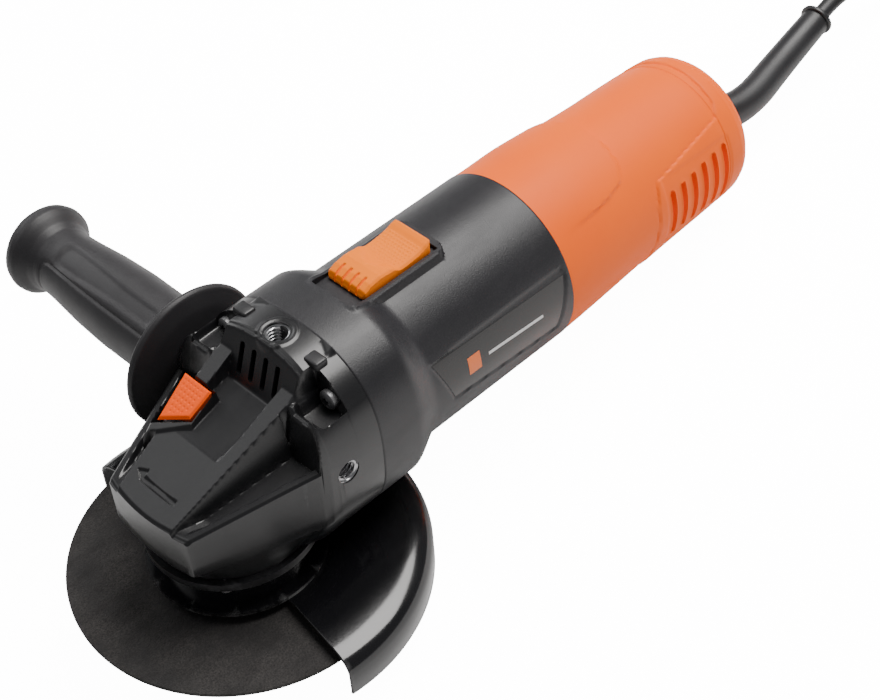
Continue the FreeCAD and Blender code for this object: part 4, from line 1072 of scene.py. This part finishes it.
cordShape = {
    "diameter": 0.007,
    "sleeveEnd": [(212.0, -35.6, 21.0), (238.5, -33.4, 23.0)],
    "route": [(238.5, -33.4, 23.0), (253.4, -32.2, 24.1), (267.6, -33.6, 20.5), (285.0, -36.8, 8.6),
              (299.0, -39.6, 3.6), (313.0, -41.2, 3.5), (327.0, -41.5, 3.5)],
    "coilCentre": (327.0, -87.8), "coilOuter": 46.25, "pitch": 7.25, "perTurn": 16, "layer": 7.0,
    "turns": (2.5, 2.5, 1.1875), "climb": 3,
    "lastRun": [(31.5, -19.5, 24.6), (22.5, -36.5, 24.8), (9.0, -49.5, 25.0), (-6.5, -56.5, 25.3),
                (-22.0, -58.5, 25.7), (-36.5, -53.0, 26.2), (-46.0, -40.5, 26.8), (-47.5, -25.0, 27.4),
                (-41.0, -10.0, 27.9), (-30.0, -1.0, 28.2), (-18.0, 1.0, 28.3)],
}


def coilPoints():
    # Flat spirals laid one on another, clockwise as seen from above, then over the top to the plug
    centreX, centreY = cordShape["coilCentre"]
    perTurn, climb = cordShape["perTurn"], cordShape["climb"]
    points, reach, turned = [], cordShape["coilOuter"], 0

    def coilPoint(height):
        angle = pi / 2 - 2 * pi * turned / perTurn
        return centreX + reach * cos(angle), centreY + reach * sin(angle), height

    for layer, turns in enumerate(cordShape["turns"]):
        inward = -1 if layer % 2 == 0 else 1
        for count in range(round(turns * perTurn)):
            climbed = layer - 1 + soft(0, climb, count) if layer else 0
            height = cordShape["diameter"] * 500 + cordShape["layer"] * climbed
            points.append(coilPoint(height))
            turned += 1
            if count >= climb - 1 or layer == 0:
                reach += inward * cordShape["pitch"] / perTurn
    top = points[-1][2]
    for count in range(3):
        points.append(coilPoint(top + cordShape["layer"] * soft(0, 3, count + 1)))
        turned += 1
    points += [(centreX + x, centreY + y, z) for x, y, z in cordShape["lastRun"]]
    return points


def tubeCurve(name, points, radius, finish, widths=None):
    curve = bpy.data.curves.new(name, "CURVE")
    curve.dimensions = "3D"
    curve.bevel_depth = radius
    curve.bevel_resolution = 6
    curve.use_fill_caps = True
    spline = curve.splines.new("NURBS")
    spline.points.add(len(points) - 1)
    for number, (point, place) in enumerate(zip(spline.points, points)):
        point.co = (*[value * mm for value in place], 1.0)
        point.radius = 1.0 if widths is None else widths[number]
    spline.order_u = 3
    spline.use_endpoint_u = True
    spline.resolution_u = 8
    curve.materials.append(finishes[finish])
    piece = bpy.data.objects.new(name, curve)
    addToScene(piece)
    return piece


def makeCord():
    route = cordShape["route"][:-1] + coilPoints()
    cordLine = tubeCurve("powerCord", route, cordShape["diameter"] / 2, "blackRubber")
    assign(cordLine, "casing", ["power_cord", "cord_coil"])
    return cordLine


cordLine = makeCord()

sleeve = {
    "points": [(147.0, -33.0, 28.4), (158.0, -34.6, 26.6), (171.0, -37.2, 23.4), (180.0, -38.8, 21.8),
               (190.0, -38.6, 21.0), (201.0, -36.9, 20.9), (212.0, -35.6, 21.1), (225.0, -34.5, 22.0),
               (236.6, -33.6, 22.8)],
    "radius": 7.2, "widths": [1.04, 1.04, 1.03, 1.0, 0.98, 0.95, 0.92, 0.89, 0.86],
    "rim": 7.2, "rimLong": 2.0,
}


def makeSleeve():
    tube = tubeCurve("strainRelief", sleeve["points"], sleeve["radius"] * mm, "blackRubber", sleeve["widths"])
    assign(tube, "casing", ["strain_relief"])
    before, end = [Vector(place) for place in cordShape["sleeveEnd"]]
    ahead = (end - before).normalized()
    bm = bmesh.new()
    addCylinder(bm, end - ahead * sleeve["rimLong"], end, sleeve["rim"], 48)
    edges = [edge for edge in bm.edges if edge.calc_length() > 0 and len(edge.link_faces) == 2
             and any(len(face.verts) > 4 for face in edge.link_faces)]
    roundEdges(bm, edges, 0.6, 3)
    makePiece("strainReliefRim", bm, "blackRubber", "casing", [], lay=Matrix.Scale(mm, 4))


makeSleeve()

plug = {"size": (36.0, 26.0, 14.6), "base": (-18.0, -12.0, 21.0), "pinRadius": 2.4, "pinLong": 19.0}


def makePlug():
    centreX, centreY = cordShape["coilCentre"]
    low = Vector((centreX, centreY, 0)) + Vector(plug["base"])
    bm = bmesh.new()
    addBlock(bm, low, low + Vector(plug["size"]))
    upright = [edge for edge in bm.edges if abs(edge.verts[0].co.z - edge.verts[1].co.z) > 1]
    roundEdges(bm, upright, 7.0, 10)
    flat = [edge for edge in bm.edges if abs(edge.verts[0].co.z - edge.verts[1].co.z) < 0.01]
    roundEdges(bm, flat, 2.2, 4)
    entry = low + Vector((0, 13.0, 7.3))
    for number in range(4):
        addCylinder(bm, entry + Vector((-9.5 + 2.6 * number, 0, 0)), entry + Vector((-7.7 + 2.6 * number, 0, 0)),
                    4.6 + 0.25 * number, 32)
    addCylinder(bm, entry + Vector((-9.0, 0, 0)), entry + Vector((3.0, 0, 0)), 4.1, 32)
    body = makePiece("plugBody", bm, "blackRubber", "casing", ["plug_body"], lay=Matrix.Scale(mm, 4))
    bm = bmesh.new()
    for side in (-8.5, 10.5):
        start = Vector((centreX + 17.0, centreY + side, 28.0))
        addCylinder(bm, start, start + Vector((plug["pinLong"] - 1.0, 0, 0)), plug["pinRadius"], 32)
        addCylinder(bm, start + Vector((plug["pinLong"] - 1.0, 0, 0)), start + Vector((plug["pinLong"] + 1.0, 0, 0)),
                    plug["pinRadius"], 32, tip=1.2)
    pins = makePiece("plugPins", bm, "brightSteel", "casing", ["plug_pins"], lay=Matrix.Scale(mm, 4))
    return body, pins


plugBody, plugPins = makePlug()
